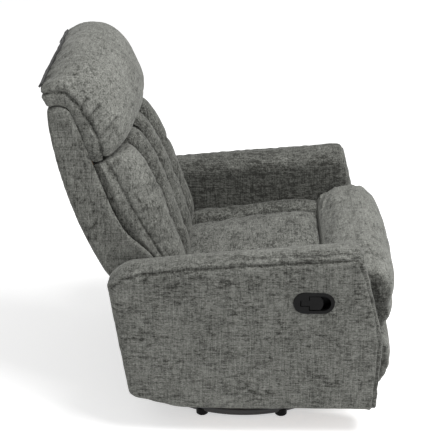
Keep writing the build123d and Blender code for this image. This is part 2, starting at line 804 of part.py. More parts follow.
# Seat cushion: crowned sections from the back to the cross seam, drawn in at both ends
def seat_section(y, half_width, edge_drop, crown):
    """Section of the seat cushion at y."""
    edge = seat_edge_z - seat_slope * y - edge_drop
    belly_z = (seat_bottom_z + edge) / 2
    foot = half_width - seat_foot_tuck
    brow = half_width - seat_brow_tuck
    seam = half_width - seat_border
    seam_z = edge - seat_border_fall
    strip = ((seam + brow) / 2, (seam_z + edge) / 2 + seat_border_puff)
    with BuildSketch(Plane.XZ.offset(-y)) as section:
        with BuildLine():
            Line((-foot, seat_bottom_z), (foot, seat_bottom_z))
            ThreePointArc((foot, seat_bottom_z), (half_width, belly_z), (brow, edge))
            ThreePointArc((brow, edge), strip, (seam, seam_z))
            ThreePointArc((seam, seam_z), (0, seam_z + crown), (-seam, seam_z))
            ThreePointArc((-seam, seam_z), (-strip[0], strip[1]), (-brow, edge))
            ThreePointArc((-brow, edge), (-half_width, belly_z), (-foot, seat_bottom_z))
        make_face()
    return section.sketch


seat_front_y = seat_frame_front_y
seat_mid_y = (seat_rear_y + seat_front_y) / 2
seat_half_run = (seat_rear_y - seat_front_y) / 2
with BuildPart() as seat_cushion:
    seat_sections = []
    for share in puff_shares:
        fullness = puff(share, 1.0)
        half_width = seat_half_width - seat_end_draw * (1.0 - fullness)
        crown = seat_crown * (seat_end_crown + (1.0 - seat_end_crown) * fullness)
        y = seat_mid_y - share * seat_half_run
        seat_sections.append(seat_section(y, half_width, seat_end_drop * (1.0 - fullness), crown))
    loft(seat_sections)
finish(seat_cushion, "seat_cushion")

# Front roll of the seat, a puffed section whose ends are gathered in
roll_rear = -seat_front_y + side_gap


def roll_section(x, scale):
    """Side section of the front roll at x, drawn in by scale towards its rear face."""
    mid = (roll_top_z + roll_bottom_z) / 2

    def spot(forward, height):
        return (-(roll_rear + (forward - roll_rear) * scale), mid + (height - mid) * scale)

    brow = spot(roll_reach - roll_brow_back, roll_top_z - roll_brow_drop)
    chin = spot(roll_reach - roll_chin_back, roll_bottom_z + roll_chin_rise)
    rear_top = spot(roll_rear, roll_top_z - roll_rear_drop)
    rear_bottom = spot(roll_rear, roll_bottom_z + roll_rear_rise)
    middle = (roll_rear + roll_reach) / 2
    with BuildSketch(side_plane(x)) as section:
        with BuildLine():
            Line(rear_bottom, rear_top)
            ThreePointArc(rear_top, spot(middle - roll_crest_back, roll_top_z), brow)
            ThreePointArc(brow, spot(roll_reach, mid - roll_belly_drop), chin)
            ThreePointArc(chin, spot(middle, roll_bottom_z), rear_bottom)
        make_face()
    return section.sketch


with BuildPart() as seat_front_roll:
    loft([roll_section(share * roll_half_width, puff(share, roll_end_draw)) for share in puff_shares])
finish(seat_front_roll, "seat_front_roll")

# Upholstered panel that closes the rear between the arms
with BuildPart() as rear_panel:
    with BuildSketch(side_plane(-arm_inner_x + side_gap)):
        with BuildLine():
            Polyline(
                (rear_panel_bottom_y, rear_panel_bottom_z),
                (rear_panel_top_y, rear_panel_top_z),
                (rear_panel_top_y - rear_panel_thickness, rear_panel_top_z),
                (rear_panel_bottom_y - rear_panel_thickness, rear_panel_bottom_z),
                close=True,
            )
        make_face()
    extrude(amount=2 * (arm_inner_x - side_gap))
    fillet(rear_panel.edges().filter_by(Axis.X), rear_panel_thickness / 3)
finish(rear_panel, "rear_panel")

# Fixed pins of the lift, in the plates
with BuildPart() as lift_pivot_pins:
    with BuildSketch(side_plane(plate_inner_x - pivot_pin_reach)):
        with Locations(pivot_a0):
            Circle(pivot_pin_diameter / 2)
    extrude(amount=pivot_pin_reach + plate_thickness)
    mirror(about=Plane.YZ)
finish(lift_pivot_pins, "lift_pivot_pins")


def tong_link(plane_x, start, end, fixed_pivots, free_pivots, pin_size):
    """Both straps of one lift link, with tight holes at fixed pivots and running holes at free ones."""
    with BuildPart() as link:
        with BuildSketch(side_plane(plane_x)):
            strap(start, end, tong_width)
            for spot in fixed_pivots:
                with Locations(spot):
                    Circle(rivet_diameter / 2, mode=Mode.SUBTRACT)
            for spot in free_pivots:
                with Locations(spot):
                    Circle(rivet_diameter / 2 + running_gap, mode=Mode.SUBTRACT)
            if pin_size:
                with Locations(start):
                    Circle(pin_size / 2 + running_gap, mode=Mode.SUBTRACT)
        extrude(amount=tong_thickness)
        mirror(about=Plane.YZ)
    return link


lift_link_a = tong_link(outer_tong_x, pivot_a0, pivot_ac, [pivot_ab, pivot_ac], [], pivot_pin_diameter)
finish(lift_link_a, "lift_links_lower")
lift_link_b = tong_link(inner_tong_x, pivot_b0, pivot_bd, [pivot_b0, pivot_bd], [pivot_ab], 0)
finish(lift_link_b, "lift_links_slide")
lift_link_d = tong_link(outer_tong_x, pivot_bd, pivot_cd, [], [pivot_bd, pivot_cd], 0)
finish(lift_link_d, "lift_links_upper")


def rivets(spots):
    """Headed rivets through the lift links on both sides, flush with the outer link's face."""
    head_x = inner_tong_x - tong_gap
    with BuildPart() as group:
        with BuildSketch(side_plane(head_x)):
            with Locations(*spots):
                Circle(rivet_diameter / 2)
        extrude(amount=outer_tong_x + tong_thickness - head_x)
        with BuildSketch(side_plane(head_x - rivet_head_height)):
            with Locations(*spots):
                Circle(rivet_head / 2)
        extrude(amount=rivet_head_height)
        mirror(about=Plane.YZ)
    return group


finish(rivets([pivot_ab, pivot_ac]), "lift_rivets_lower")
finish(rivets([pivot_bd]), "lift_rivets_slide")
finish(rivets([pivot_cd]), "lift_rivets_footrest")

# Pins of the sliding ends, from the inner link out into the plates' slots
with BuildPart() as lift_slide_pins:
    with BuildSketch(side_plane(inner_tong_x)):
        with Locations(pivot_b0):
            Circle(rivet_diameter / 2)
    extrude(amount=arm_inner_x - inner_tong_x)
    mirror(about=Plane.YZ)
finish(lift_slide_pins, "lift_slide_pins")

# Tube between the two lower links, turning on the fixed pins
with BuildPart() as torque_tube:
    with BuildSketch(side_plane(-outer_tong_x)):
        with Locations(pivot_a0):
            Circle(torque_tube_diameter / 2)
            Circle(pivot_pin_diameter / 2 + running_gap, mode=Mode.SUBTRACT)
    extrude(amount=2 * outer_tong_x)
finish(torque_tube, "torque_tube")

# Crank on the tube, which the release cable pulls
with BuildPart() as trip_crank:
    with BuildSketch(side_plane(-crank_x - crank_metal / 2)):
        strap(pivot_a0, crank_tip, crank_width)
        with Locations(crank_tip):
            Circle(wire_diameter, mode=Mode.SUBTRACT)
    extrude(amount=crank_metal)
    with BuildSketch(side_plane(-crank_x - crank_metal / 2)):
        with Locations(pivot_a0):
            Circle(torque_tube_diameter / 2)
    extrude(amount=crank_metal, mode=Mode.SUBTRACT)
finish(trip_crank, "trip_crank")

# Footrest carriers: the outermost lift link, widened to a flange on the board
flange_z = (board_bottom_z + board_top_z) / 2
screw_x = inner_tong_x + tong_thickness - screw_inset
screw_spots = [(screw_x, flange_z - flange_height / 3), (screw_x, flange_z + flange_height / 3)]
with BuildPart() as footrest_carriers:
    with BuildSketch(side_plane(inner_tong_x)):
        strap(pivot_ac, pivot_c2, tong_width)
        with BuildLine():
            Polyline(
                (pivot_c2[0] + tong_width / 2, pivot_c2[1] + tong_width / 4),
                (board_rear_y, flange_z + flange_height / 2),
                (board_rear_y, flange_z - flange_height / 2),
                (pivot_c2[0] + tong_width / 4, pivot_c2[1] - tong_width / 3),
                close=True,
            )
        make_face()
        with Locations(pivot_ac):
            Circle(rivet_diameter / 2 + running_gap, mode=Mode.SUBTRACT)
        with Locations(pivot_cd):
            Circle(rivet_diameter / 2, mode=Mode.SUBTRACT)
    extrude(amount=tong_thickness)
    with BuildSketch(Plane.XZ.offset(-board_rear_y - flange_metal)):
        with Locations((inner_tong_x + tong_thickness - flange_width / 2, flange_z)):
            Rectangle(flange_width, flange_height)
        with Locations(*screw_spots):
            Circle(screw_diameter / 2, mode=Mode.SUBTRACT)
    extrude(amount=flange_metal)
    mirror(about=Plane.YZ)
finish(footrest_carriers, "footrest_carriers")

with BuildPart() as footrest_board:
    with BuildSketch(Plane.XZ.offset(-board_rear_y)):
        with Locations((0, flange_z)):
            RectangleRounded(2 * board_half_width, board_top_z - board_bottom_z, board_thickness)
        with Locations(*screw_spots, *[(-x, z) for x, z in screw_spots]):
            Circle(screw_diameter / 2, mode=Mode.SUBTRACT)
    extrude(amount=board_thickness)
finish(footrest_board, "footrest_board")

with BuildPart() as footrest_screws:
    with BuildSketch(Plane.XZ.offset(-board_rear_y - flange_metal - screw_head_height)):
        with Locations(*screw_spots):
            Circle(screw_head / 2)
    extrude(amount=screw_head_height)
    with BuildSketch(Plane.XZ.offset(-board_rear_y - flange_metal)):
        with Locations(*screw_spots):
            Circle(screw_diameter / 2)
    extrude(amount=flange_metal + board_thickness)
    mirror(about=Plane.YZ)
finish(footrest_screws, "footrest_screws")


def pad_section(x, scale):
    """Side section of the footrest pad at x, its swell and height drawn in by scale."""
    rear = board_front_y - side_gap
    top = flange_z + (board_top_z + pad_overhang - flange_z) * scale
    bottom = flange_z - (flange_z - board_bottom_z + pad_overhang) * scale
    brow = rear - pad_brow * pad_swell * scale
    lip = rear - pad_lip * pad_swell * scale
    rear_top = (rear, top - pad_overhang)
    rear_bottom = (rear, bottom + pad_overhang)
    front_top = (brow, top - pad_brow_drop)
    front_bottom = (brow, bottom + pad_brow_drop)
    with BuildSketch(side_plane(x)) as section:
        with BuildLine():
            Line(rear_bottom, rear_top)
            ThreePointArc(rear_top, (lip, top), front_top)
            ThreePointArc(front_top, (rear - pad_swell * scale, flange_z), front_bottom)
            ThreePointArc(front_bottom, (lip, bottom), rear_bottom)
        make_face()
    return section.sketch


pad_half_width = board_half_width + pad_side_overhang
with BuildPart() as footrest_pad:
    loft([pad_section(share * pad_half_width, puff(share, pad_end_draw)) for share in puff_shares])
finish(footrest_pad, "footrest_pad")

# Outer back: a tray with a round foot about the hinge, open to the front, its side walls widened at the bottom
tray_bottom_w = shell_pivot_w - shell_depth / 2 + shell_wall
with BuildPart() as back_cover:
    with BuildSketch(back_plane(0)) as shell_outline:
        with Locations((0, (shell_top_w + shell_pivot_w) / 2)):
            Rectangle(2 * shell_half_width, shell_top_w - shell_pivot_w)
        fillet(shell_outline.vertices().group_by(Axis.Y)[-1], shell_corner)
    extrude(amount=shell_depth)
    with BuildSketch(side_plane(-shell_half_width)):
        with BuildLine():
            bow_top = lean_point(shell_top_w, 0)
            bow_foot = lean_point(shell_pivot_w, 0)
            ThreePointArc(bow_top, lean_point((shell_top_w + shell_pivot_w) / 2, -shell_bow), bow_foot)
            Line(bow_foot, bow_top)
        make_face()
    extrude(amount=2 * shell_half_width)
    with BuildSketch(side_plane(-shell_half_width)):
        with Locations(hinge_yz):
            Circle(shell_depth / 2)
        with BuildLine():
            wing_top = lean_point(wing_top_w, shell_depth)
            wing_low = lean_point(wing_low_w, shell_depth + wing_reach)
            wing_foot = lean_point(wing_foot_w, shell_depth)
            ThreePointArc(wing_top, lean_point(wing_mid_w, shell_depth + wing_mid_reach), wing_low)
            Line(wing_low, wing_foot)
            Line(wing_foot, wing_top)
        make_face()
    extrude(amount=2 * shell_half_width)
    with BuildSketch(side_plane(-shell_half_width)):
        with BuildLine():
            brow_foot = lean_point(shell_top_w - shell_brow, shell_depth)
            brow_top = lean_point(shell_top_w, shell_depth - shell_brow)
            brow_corner = lean_point(shell_top_w, shell_depth)
            bow = shell_brow * (1 - cos(radians(45)))
            ThreePointArc(brow_foot, lean_point(shell_top_w - bow, shell_depth - bow), brow_top)
            Polyline(brow_top, brow_corner, brow_foot)
        make_face()
    extrude(amount=2 * shell_half_width, mode=Mode.SUBTRACT)
    with BuildSketch(back_plane(shell_rear_wall)) as tray_outline:
        with Locations((0, (shell_top_w - shell_wall + tray_bottom_w) / 2)):
            Rectangle(2 * tray_half_width, shell_top_w - shell_wall - tray_bottom_w)
        fillet(tray_outline.vertices().group_by(Axis.Y)[-1], shell_corner - shell_wall)
    extrude(amount=shell_depth + wing_reach, mode=Mode.SUBTRACT)
    with BuildSketch(side_plane(-shell_half_width)):
        with Locations(hinge_yz):
            Circle(hinge_pin_diameter / 2 + slide_gap)
    extrude(amount=2 * shell_half_width, mode=Mode.SUBTRACT)
finish(back_cover, "back_cover")

# Hinge brackets inside the tray's side walls
bracket_x = tray_half_width - hinge_bracket_metal
bracket_top = lean_point(shell_pivot_w + hinge_bracket_height, shell_pivot_t)
with BuildPart() as back_brackets:
    with BuildSketch(side_plane(bracket_x)):
        strap(hinge_yz, bracket_top, hinge_head)
        with Locations(hinge_yz):
            Circle(hinge_pin_diameter / 2 + running_gap, mode=Mode.SUBTRACT)
    extrude(amount=hinge_bracket_metal)
    mirror(about=Plane.YZ)
finish(back_brackets, "back_brackets")

# Hinge pins fixed in the mechanism plates, with a collar outside the tray and a head inside the bracket
with BuildPart() as back_hinge_pins:
    with BuildSketch(side_plane(bracket_x - side_gap)):
        with Locations(hinge_yz):
            Circle(hinge_pin_diameter / 2)
    extrude(amount=arm_inner_x - bracket_x + side_gap)
    with BuildSketch(side_plane(shell_half_width + side_gap)):
        with Locations(hinge_yz):
            Circle(hinge_collar / 2)
    extrude(amount=plate_inner_x - shell_half_width - side_gap)
    with BuildSketch(side_plane(bracket_x - side_gap - hinge_head_height)):
        with Locations(hinge_yz):
            Circle(hinge_head / 2)
    extrude(amount=hinge_head_height)
    mirror(about=Plane.YZ)
finish(back_hinge_pins, "back_hinge_pins")

# Timber frame of the back: two posts on the brackets and three rails between them
back_post_bottom = shell_pivot_w + hinge_head
back_post_top = shell_top_w - shell_brow
back_post_x = bracket_x - back_post_width
with BuildPart() as back_frame:
    with BuildSketch(back_plane(shell_rear_wall)):
        with Locations((back_post_x + back_post_width / 2, (back_post_bottom + back_post_top) / 2)):
            Rectangle(back_post_width, back_post_top - back_post_bottom)
    extrude(amount=back_post_depth)
    mirror(about=Plane.YZ)
    for rail_w in (
        back_post_bottom + back_rail_height / 2,
        (back_post_bottom + back_post_top) / 2,
        back_post_top - back_rail_height / 2,
    ):
        with BuildSketch(back_plane(shell_rear_wall)):
            with Locations((0, rail_w)):
                Rectangle(2 * (back_post_x - glue_gap), back_rail_height)
        extrude(amount=back_rail_depth)
finish(back_frame, "back_frame")

# Elastic webbing stapled across the posts
with BuildPart() as back_webbing:
    web_pitch = (back_post_top - back_post_bottom) / web_count
    with BuildSketch(back_plane(shell_rear_wall + back_post_depth)):
        for web in range(web_count):
            with Locations((0, back_post_bottom + (web + 0.5) * web_pitch)):
                Rectangle(2 * (bracket_x - side_gap), web_width)
    extrude(amount=web_thickness)
finish(back_webbing, "back_webbing")


# Back cushion: upright channels, swelling between the sewn grooves
cushion_base_t = shell_depth + side_gap


def lumbar_section(w, half_width, swell):
    """Section of the back cushion at a height w."""
    low = (lumbar_top_w - w) / (lumbar_top_w - lumbar_bottom_w)
    edge_t = cushion_base_t + lumbar_side_top + low * (lumbar_side_bottom - lumbar_side_top)
    groove_t = cushion_base_t + swell - channel_depth
    with BuildSketch(back_section(w)) as section:
        with BuildLine():
            Polyline(
                (-half_width, edge_t),
                (-half_width, cushion_base_t),
                (half_width, cushion_base_t),
                (half_width, edge_t),
            )
            for channel in range(channel_count):
                left = half_width * (2 * channel / channel_count - 1)
                right = half_width * (2 * (channel + 1) / channel_count - 1)
                ThreePointArc(
                    (left, edge_t if channel == 0 else groove_t),
                    ((left + right) / 2, cushion_base_t + swell),
                    (right, edge_t if channel == channel_count - 1 else groove_t),
                )
        make_face()
    return section.sketch


lumbar_mid_w = (lumbar_top_w + lumbar_bottom_w) / 2
lumbar_half_run = (lumbar_top_w - lumbar_bottom_w) / 2
with BuildPart() as back_cushion:
    lumbar_sections = []
    for share in puff_shares:
        fullness = puff(share, lumbar_end_draw)
        half_width = lumbar_half_width * (1.0 - lumbar_end_narrow * (1.0 - fullness))
        w = lumbar_mid_w + share * lumbar_half_run
        lumbar_sections.append(lumbar_section(w, half_width, fullness * lumbar_swell))
    loft(lumbar_sections)
finish(back_cushion, "back_cushion")


# Head pillow: a hood over the top of the tray, full in the middle and drawn in at its ends
pillow_edge_w = shell_top_w + pillow_hood


def pillow_section(x, share):
    """Side section of the head pillow at x, a share of its half width."""
    fullness = puff(share, pillow_end_draw, pillow_crown)
    seat_w = shell_top_w + side_gap
    bend = shell_brow + side_gap
    bow = bend * (1 - cos(radians(45)))

    def spot(height, forward):
        return lean_point(pillow_bottom_w + height * (1 + fullness) / 2, cushion_base_t + forward * fullness)

    crest_w = pillow_edge_w + pillow_rise * (1 - share**2)
    rear_edge = lean_point(pillow_edge_w, 0)
    lip_end = spot(0, pillow_lip)
    with BuildSketch(side_plane(x)) as section:
        with BuildLine():
            Spline(
                rear_edge,
                lean_point(crest_w, cushion_base_t + pillow_crest * fullness),
                spot(pillow_brow_height, pillow_brow),
                spot(pillow_face_height, pillow_swell),
                spot(pillow_chin_height, pillow_chin),
                spot(pillow_jaw_height, pillow_jaw),
                lip_end,
            )
            Polyline(
                lip_end, lean_point(pillow_bottom_w, cushion_base_t), lean_point(seat_w - bend, cushion_base_t)
            )
            ThreePointArc(
                lean_point(seat_w - bend, cushion_base_t),
                lean_point(seat_w - bow, cushion_base_t - bow),
                lean_point(seat_w, cushion_base_t - bend),
            )
            Polyline(lean_point(seat_w, cushion_base_t - bend), lean_point(seat_w, 0), rear_edge)
        make_face()
    return section.sketch


with BuildPart() as head_pillow:
    loft([pillow_section(share * pillow_half_width, share) for share in puff_shares])
finish(head_pillow, "head_pillow")

# Zip along the rear edge of the pillow's hood
with BuildPart() as back_zip:
    with BuildSketch(back_plane(-zip_proud)):
        with Locations((0, pillow_edge_w - zip_width)):
            SlotOverall(2 * (pillow_half_width - zip_inset), zip_width)
    extrude(amount=zip_proud)
finish(back_zip, "back_zip")


def handle_plane(outward):
    """Plane of the handle, x forward and y up, at a distance outward from the arm's face."""
    return Plane(origin=(-arm_outer_x - outward, handle_y, handle_z), x_dir=(0, -1, 0), z_dir=(-1, 0, 0))


# Places along the handle, forward of its middle
paddle_rear = pocket_forward - pocket_length / 2 + 2 * stem_room
stem_rear = paddle_rear - stem_length
lever_pivot_y = handle_y - stem_rear - lever_pivot_inset
lever_pivot_x = -arm_outer_x + lever_pivot_depth
lever_pin_half = stem_height / 2 + stem_room + lever_pin_reach
cup_back_x = -arm_outer_x + cup_depth
cup_inset = 2 * (cup_margin + side_gap)

# Moulded bezel with its cup: a finger pocket and a well for the lever's stem
with BuildPart() as handle_bezel:
    with BuildSketch(handle_plane(0)):
        SlotOverall(bezel_length, bezel_height)
    extrude(amount=bezel_proud)
    fillet(handle_bezel.faces().sort_by(Axis.X)[0].edges(), bezel_round)
    with BuildSketch(handle_plane(0)):
        SlotOverall(bezel_length - cup_inset, bezel_height - cup_inset)
    extrude(amount=-cup_depth)
    with BuildSketch(handle_plane(bezel_proud)):
        with Locations((pocket_forward - pocket_height / 4, 0)):
            Rectangle(pocket_length - pocket_height / 2, pocket_height)
        with Locations((pocket_forward + pocket_length / 2 - pocket_height / 2, 0)):
            Circle(pocket_height / 2)
    extrude(amount=-bezel_proud - pocket_depth, mode=Mode.SUBTRACT)
    with BuildSketch(handle_plane(bezel_proud)):
        with Locations(((stem_rear - stem_end_room + pocket_forward) / 2, 0)):
            Rectangle(pocket_forward - stem_rear + stem_end_room, stem_height + 2 * stem_room)
    extrude(amount=-bezel_proud - stem_well, mode=Mode.SUBTRACT)
    with BuildSketch(Plane.XY.offset(handle_z - lever_pin_half)):
        with Locations((lever_pivot_x, lever_pivot_y)):
            Circle(lever_pin_diameter / 2)
    extrude(amount=2 * lever_pin_half, mode=Mode.SUBTRACT)
finish(handle_bezel, "handle_bezel")

# Lever: a paddle on a stem, with a barrel round its pin
with BuildPart() as release_lever:
    with BuildSketch(handle_plane(bezel_proud - lever_sink - lever_thickness)):
        with BuildLine():
            Polyline(
                (paddle_rear + paddle_length - paddle_round, paddle_height / 2),
                (paddle_rear, paddle_height / 2),
                (paddle_rear, -paddle_height / 2),
                (paddle_rear + paddle_length - paddle_round, -paddle_height / 2),
            )
            ThreePointArc(
                (paddle_rear + paddle_length - paddle_round, -paddle_height / 2),
                (paddle_rear + paddle_length, 0),
                (paddle_rear + paddle_length - paddle_round, paddle_height / 2),
            )
        make_face()
        with Locations(((stem_rear + paddle_rear) / 2, 0)):
            Rectangle(stem_length, stem_height)
    extrude(amount=lever_thickness)
    with BuildSketch(Plane.XY.offset(handle_z - stem_height / 2)):
        with Locations((lever_pivot_x, lever_pivot_y)):
            Circle(lever_barrel / 2)
    extrude(amount=stem_height)
    with BuildSketch(Plane.XY.offset(handle_z - stem_height / 2)):
        with Locations((lever_pivot_x, lever_pivot_y)):
            Circle(lever_pin_diameter / 2 + running_gap)
    extrude(amount=stem_height, mode=Mode.SUBTRACT)
finish(release_lever, "release_lever")

with BuildPart() as lever_pin:
    with BuildSketch(Plane.XY.offset(handle_z - lever_pin_half)):
        with Locations((lever_pivot_x, lever_pivot_y)):
            Circle(lever_pin_diameter / 2)
    extrude(amount=2 * lever_pin_half)
finish(lever_pin, "lever_pin")

# Release cable, from the back of the cup down inside the arm and through to its bracket
bracket_front_y = front_tube_y - tube_size / 2 + side_gap
bracket_rear_y = bracket_front_y + cable_bracket_metal
cable_points = [
    (cup_back_x, lever_pivot_y, handle_z),
    (cup_back_x + cable_run_in, lever_pivot_y, handle_z),
    (cup_back_x + cable_run_in, *cable_spot),
    (-crank_x, *cable_spot),
    (-crank_x, bracket_rear_y, cable_spot[1]),
]
with BuildPart() as release_cable:
    with BuildLine() as cable_path:
        FilletPolyline(*cable_points, radius=cable_bend)
    with BuildSketch(side_plane(cup_back_x)):
        with Locations((lever_pivot_y, handle_z)):
            Circle(cable_diameter / 2)
    sweep(path=cable_path.line)
finish(release_cable, "release_cable")

# Bracket on the front cross tube that stops the cable's sheath, and the bare wire beyond it
with BuildPart() as cable_bracket:
    with BuildSketch(Plane.XZ.offset(-bracket_rear_y)):
        with Locations((-crank_x, (tube_top + cable_spot[1] + cable_diameter) / 2)):
            Rectangle(cable_bracket_width, cable_spot[1] + cable_diameter - tube_top)
        with Locations((-crank_x, cable_spot[1])):
            Circle(wire_diameter / 2, mode=Mode.SUBTRACT)
    extrude(amount=cable_bracket_metal)
finish(cable_bracket, "cable_bracket")

with BuildPart() as cable_wire:
    with BuildSketch(Plane.XZ.offset(-bracket_rear_y)):
        with Locations((-crank_x, cable_spot[1])):
            Circle(wire_diameter / 2)
    extrude(amount=cable_bracket_metal + wire_length)
finish(cable_wire, "cable_wire")
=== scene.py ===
import bpy
import json
import math
import numpy as np
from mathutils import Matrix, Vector, noise


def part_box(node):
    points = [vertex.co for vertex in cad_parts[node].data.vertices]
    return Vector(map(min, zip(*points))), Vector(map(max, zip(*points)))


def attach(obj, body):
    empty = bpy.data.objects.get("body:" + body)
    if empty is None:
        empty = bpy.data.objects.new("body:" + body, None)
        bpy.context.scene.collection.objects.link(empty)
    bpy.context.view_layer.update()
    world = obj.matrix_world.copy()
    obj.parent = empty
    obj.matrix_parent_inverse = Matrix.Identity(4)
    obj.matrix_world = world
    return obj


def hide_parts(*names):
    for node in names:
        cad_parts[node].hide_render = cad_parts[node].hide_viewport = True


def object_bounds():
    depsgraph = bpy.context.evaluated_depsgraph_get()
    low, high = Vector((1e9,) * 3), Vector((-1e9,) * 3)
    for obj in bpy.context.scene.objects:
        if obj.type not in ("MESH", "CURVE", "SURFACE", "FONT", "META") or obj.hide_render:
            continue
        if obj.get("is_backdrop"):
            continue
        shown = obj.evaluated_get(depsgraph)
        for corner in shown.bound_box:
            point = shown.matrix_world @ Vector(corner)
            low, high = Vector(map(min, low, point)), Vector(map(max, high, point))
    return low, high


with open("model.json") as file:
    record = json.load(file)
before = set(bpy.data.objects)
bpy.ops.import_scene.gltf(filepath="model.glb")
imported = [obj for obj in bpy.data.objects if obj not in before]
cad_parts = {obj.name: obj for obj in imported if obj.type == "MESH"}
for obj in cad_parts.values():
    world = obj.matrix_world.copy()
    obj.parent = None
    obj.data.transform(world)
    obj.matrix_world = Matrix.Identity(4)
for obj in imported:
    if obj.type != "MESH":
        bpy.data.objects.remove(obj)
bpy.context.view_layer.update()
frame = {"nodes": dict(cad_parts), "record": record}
scene = bpy.context.scene
nodes = frame["nodes"]
print("chair frame loaded:", len(nodes), "nodes")


class Wire:  # a socket that can stand in a sum
    def __init__(self, shop, socket):
        self.shop = shop
        self.socket = socket

    def maths(self, operation, first, second):
        return self.shop.node("ShaderNodeMath", {"operation": operation}, {0: first, 1: second})

    def __add__(self, other):
        return self.maths("ADD", self, other)

    def __radd__(self, other):
        return self.maths("ADD", other, self)

    def __sub__(self, other):
        return self.maths("SUBTRACT", self, other)

    def __rsub__(self, other):
        return self.maths("SUBTRACT", other, self)

    def __mul__(self, other):
        return self.maths("MULTIPLY", self, other)

    def __rmul__(self, other):
        return self.maths("MULTIPLY", other, self)

    def between(self, low, high):  # 0 below the one, 1 above the other
        return self.shop.node("ShaderNodeMapRange", {}, {"Value": self, "From Min": low, "From Max": high})


class Shop:  # one material, or the world, and its nodes
    def __init__(self, name, owner=None):
        self.material = owner or bpy.data.materials.new(name)
        self.material.use_nodes = True
        self.tree = self.material.node_tree
        self.shader = self.tree.nodes.get("Principled BSDF")

    def put(self, socket, value):
        if isinstance(value, Wire):
            self.tree.links.new(value.socket, socket)
        else:
            socket.default_value = value

    def node(self, kind, settings=None, sockets=None, out=0):
        made = self.tree.nodes.new(kind)
        for key, value in (settings or {}).items():
            setattr(made, key, value)
        for key, value in (sockets or {}).items():
            self.put(made.inputs[key], value)
        return Wire(self, made.outputs[out])

    def place(self, turn=0.0, stretch=(1.0, 1.0, 1.0)):
        spot = self.node("ShaderNodeTexCoord", out="Object")
        return self.node(
            "ShaderNodeMapping", {}, {"Vector": spot, "Rotation": (math.radians(turn), 0, 0), "Scale": stretch}
        )

    def cloud(self, spot, scale, detail=3.0, rough=0.55):
        return self.node(
            "ShaderNodeTexNoise", {}, {"Vector": spot, "Scale": scale, "Detail": detail, "Roughness": rough}
        )

    def ramp(self, share, *stops):
        made = self.node("ShaderNodeValToRGB", {}, {"Fac": share})
        elements = made.socket.node.color_ramp.elements
        while len(elements) < len(stops):
            elements.new(1.0)
        for element, (place, colour) in zip(elements, stops):
            element.position = place
            element.color = (*colour, 1.0)
        return made

    def ray(self, kind):
        return self.node("ShaderNodeLightPath", out=kind)

    def inSight(self):  # seen by the eye, in a reflection or through glass
        sight = self.ray("Is Camera Ray") + self.ray("Is Glossy Ray") + self.ray("Is Transmission Ray")
        return sight.maths("MINIMUM", sight, 1.0)

    def finish(self, surface):
        end = "World Output" if self.shader is None else "Material Output"
        self.put(self.tree.nodes[end].inputs["Surface"], surface)

    def set(self, **values):
        for key, value in values.items():
            self.put(self.shader.inputs[key.replace("_", " ")], value)

    def bump(self, height, strength, distance):
        return self.node("ShaderNodeBump", {}, {"Height": height, "Strength": strength, "Distance": distance})


chenilleLook = {
    "tones": (
        (0.12, (0.034, 0.034, 0.030)),
        (0.5, (0.148, 0.150, 0.136)),
        (0.86, (0.275, 0.278, 0.256)),
    ),
    "scale": {"blotch": 6.5, "cluster": 30.0, "fleck": 105.0, "fine": 290.0, "thread": 330.0},
    "share": {"blotch": 0.25, "cluster": 0.6, "fleck": 1.05, "fine": 0.7, "thread": 1.6, "marks": 0.22},
    # how much the marked painted shade darkens the cloth
    "paintedShadeShare": 0.27,
    "fleckRange": (0.48, 0.64),
    "clusterRange": (0.36, 0.60),
    "alongThread": 0.07,
    "middle": 0.52,
    "lean": -19.2,
}


# crushed pile: dark marks in clusters on an even ground, fine crossed threads, and painted shade: darker where the
# mesh is marked in seams, grooves, gaps and on faces turned from the light
def chenille(name, stretch, contrast=1.0, turn=0.0, tone=0.0):
    scale, share = chenilleLook["scale"], chenilleLook["share"]
    thin = chenilleLook["alongThread"]
    shop = Shop(name)
    along = shop.place(turn, stretch)
    blotch = shop.cloud(shop.place(turn), scale["blotch"], detail=4.0, rough=0.6)
    cluster = shop.cloud(along, scale["cluster"], rough=0.6)
    fleck = shop.cloud(along, scale["fleck"], rough=0.6)
    fine = shop.cloud(along, scale["fine"], detail=2.0, rough=0.6)
    warp = shop.cloud(shop.place(turn, (thin, 1.0, 1.0)), scale["thread"], detail=2.0)
    weft = shop.cloud(shop.place(turn, (1.0, thin, 1.0)), scale["thread"], detail=2.0)
    pile = shop.cloud(shop.place(turn, (1.0, 1.0, thin)), scale["thread"], detail=2.0)
    threads = (warp + weft + pile) * 0.333
    paintedShade = shop.node("ShaderNodeAttribute", {"attribute_name": "paintedShade"}, out="Fac")
    marks = fleck.between(*chenilleLook["fleckRange"]) * cluster.between(*chenilleLook["clusterRange"])
    ground = (blotch - 0.5) * share["blotch"] + (cluster - 0.5) * share["cluster"]
    ground = ground + (fleck - 0.5) * share["fleck"] + (fine - 0.5) * share["fine"]
    shade = (ground + (threads - 0.5) * share["thread"] - marks * share["marks"]) * contrast
    # painted shade: darker by the attribute marked on each cushion at seams, grooves, gaps and faces turned from the
    # light
    shade = shade + (chenilleLook["middle"] + tone) - paintedShade * chenilleLook["paintedShadeShare"]
    shop.set(
        Base_Color=shop.ramp(shade, *chenilleLook["tones"]),
        Roughness=0.98 - fleck * 0.16,
        Normal=shop.bump(threads * 0.8 + fleck * 0.7, strength=0.5, distance=0.002),
        Sheen_Weight=0.15,
        Sheen_Roughness=0.5,
        Sheen_Tint=(0.85, 0.86, 0.82, 1.0),
        Specular_IOR_Level=0.2,
    )
    return shop.material


def mouldedBlack():
    shop = Shop("mouldedBlack")
    grain = shop.cloud(shop.place(), scale=900.0, detail=2.0)
    handled = shop.cloud(shop.place(), scale=40.0, detail=4.0)
    shop.set(
        Base_Color=shop.ramp(handled, (0.3, (0.002, 0.002, 0.002)), (0.75, (0.006, 0.006, 0.006))),
        Roughness=0.34 + handled * 0.2,
        Normal=shop.bump(grain, strength=0.12, distance=0.0004),
        Specular_IOR_Level=0.12,
    )
    return shop.material


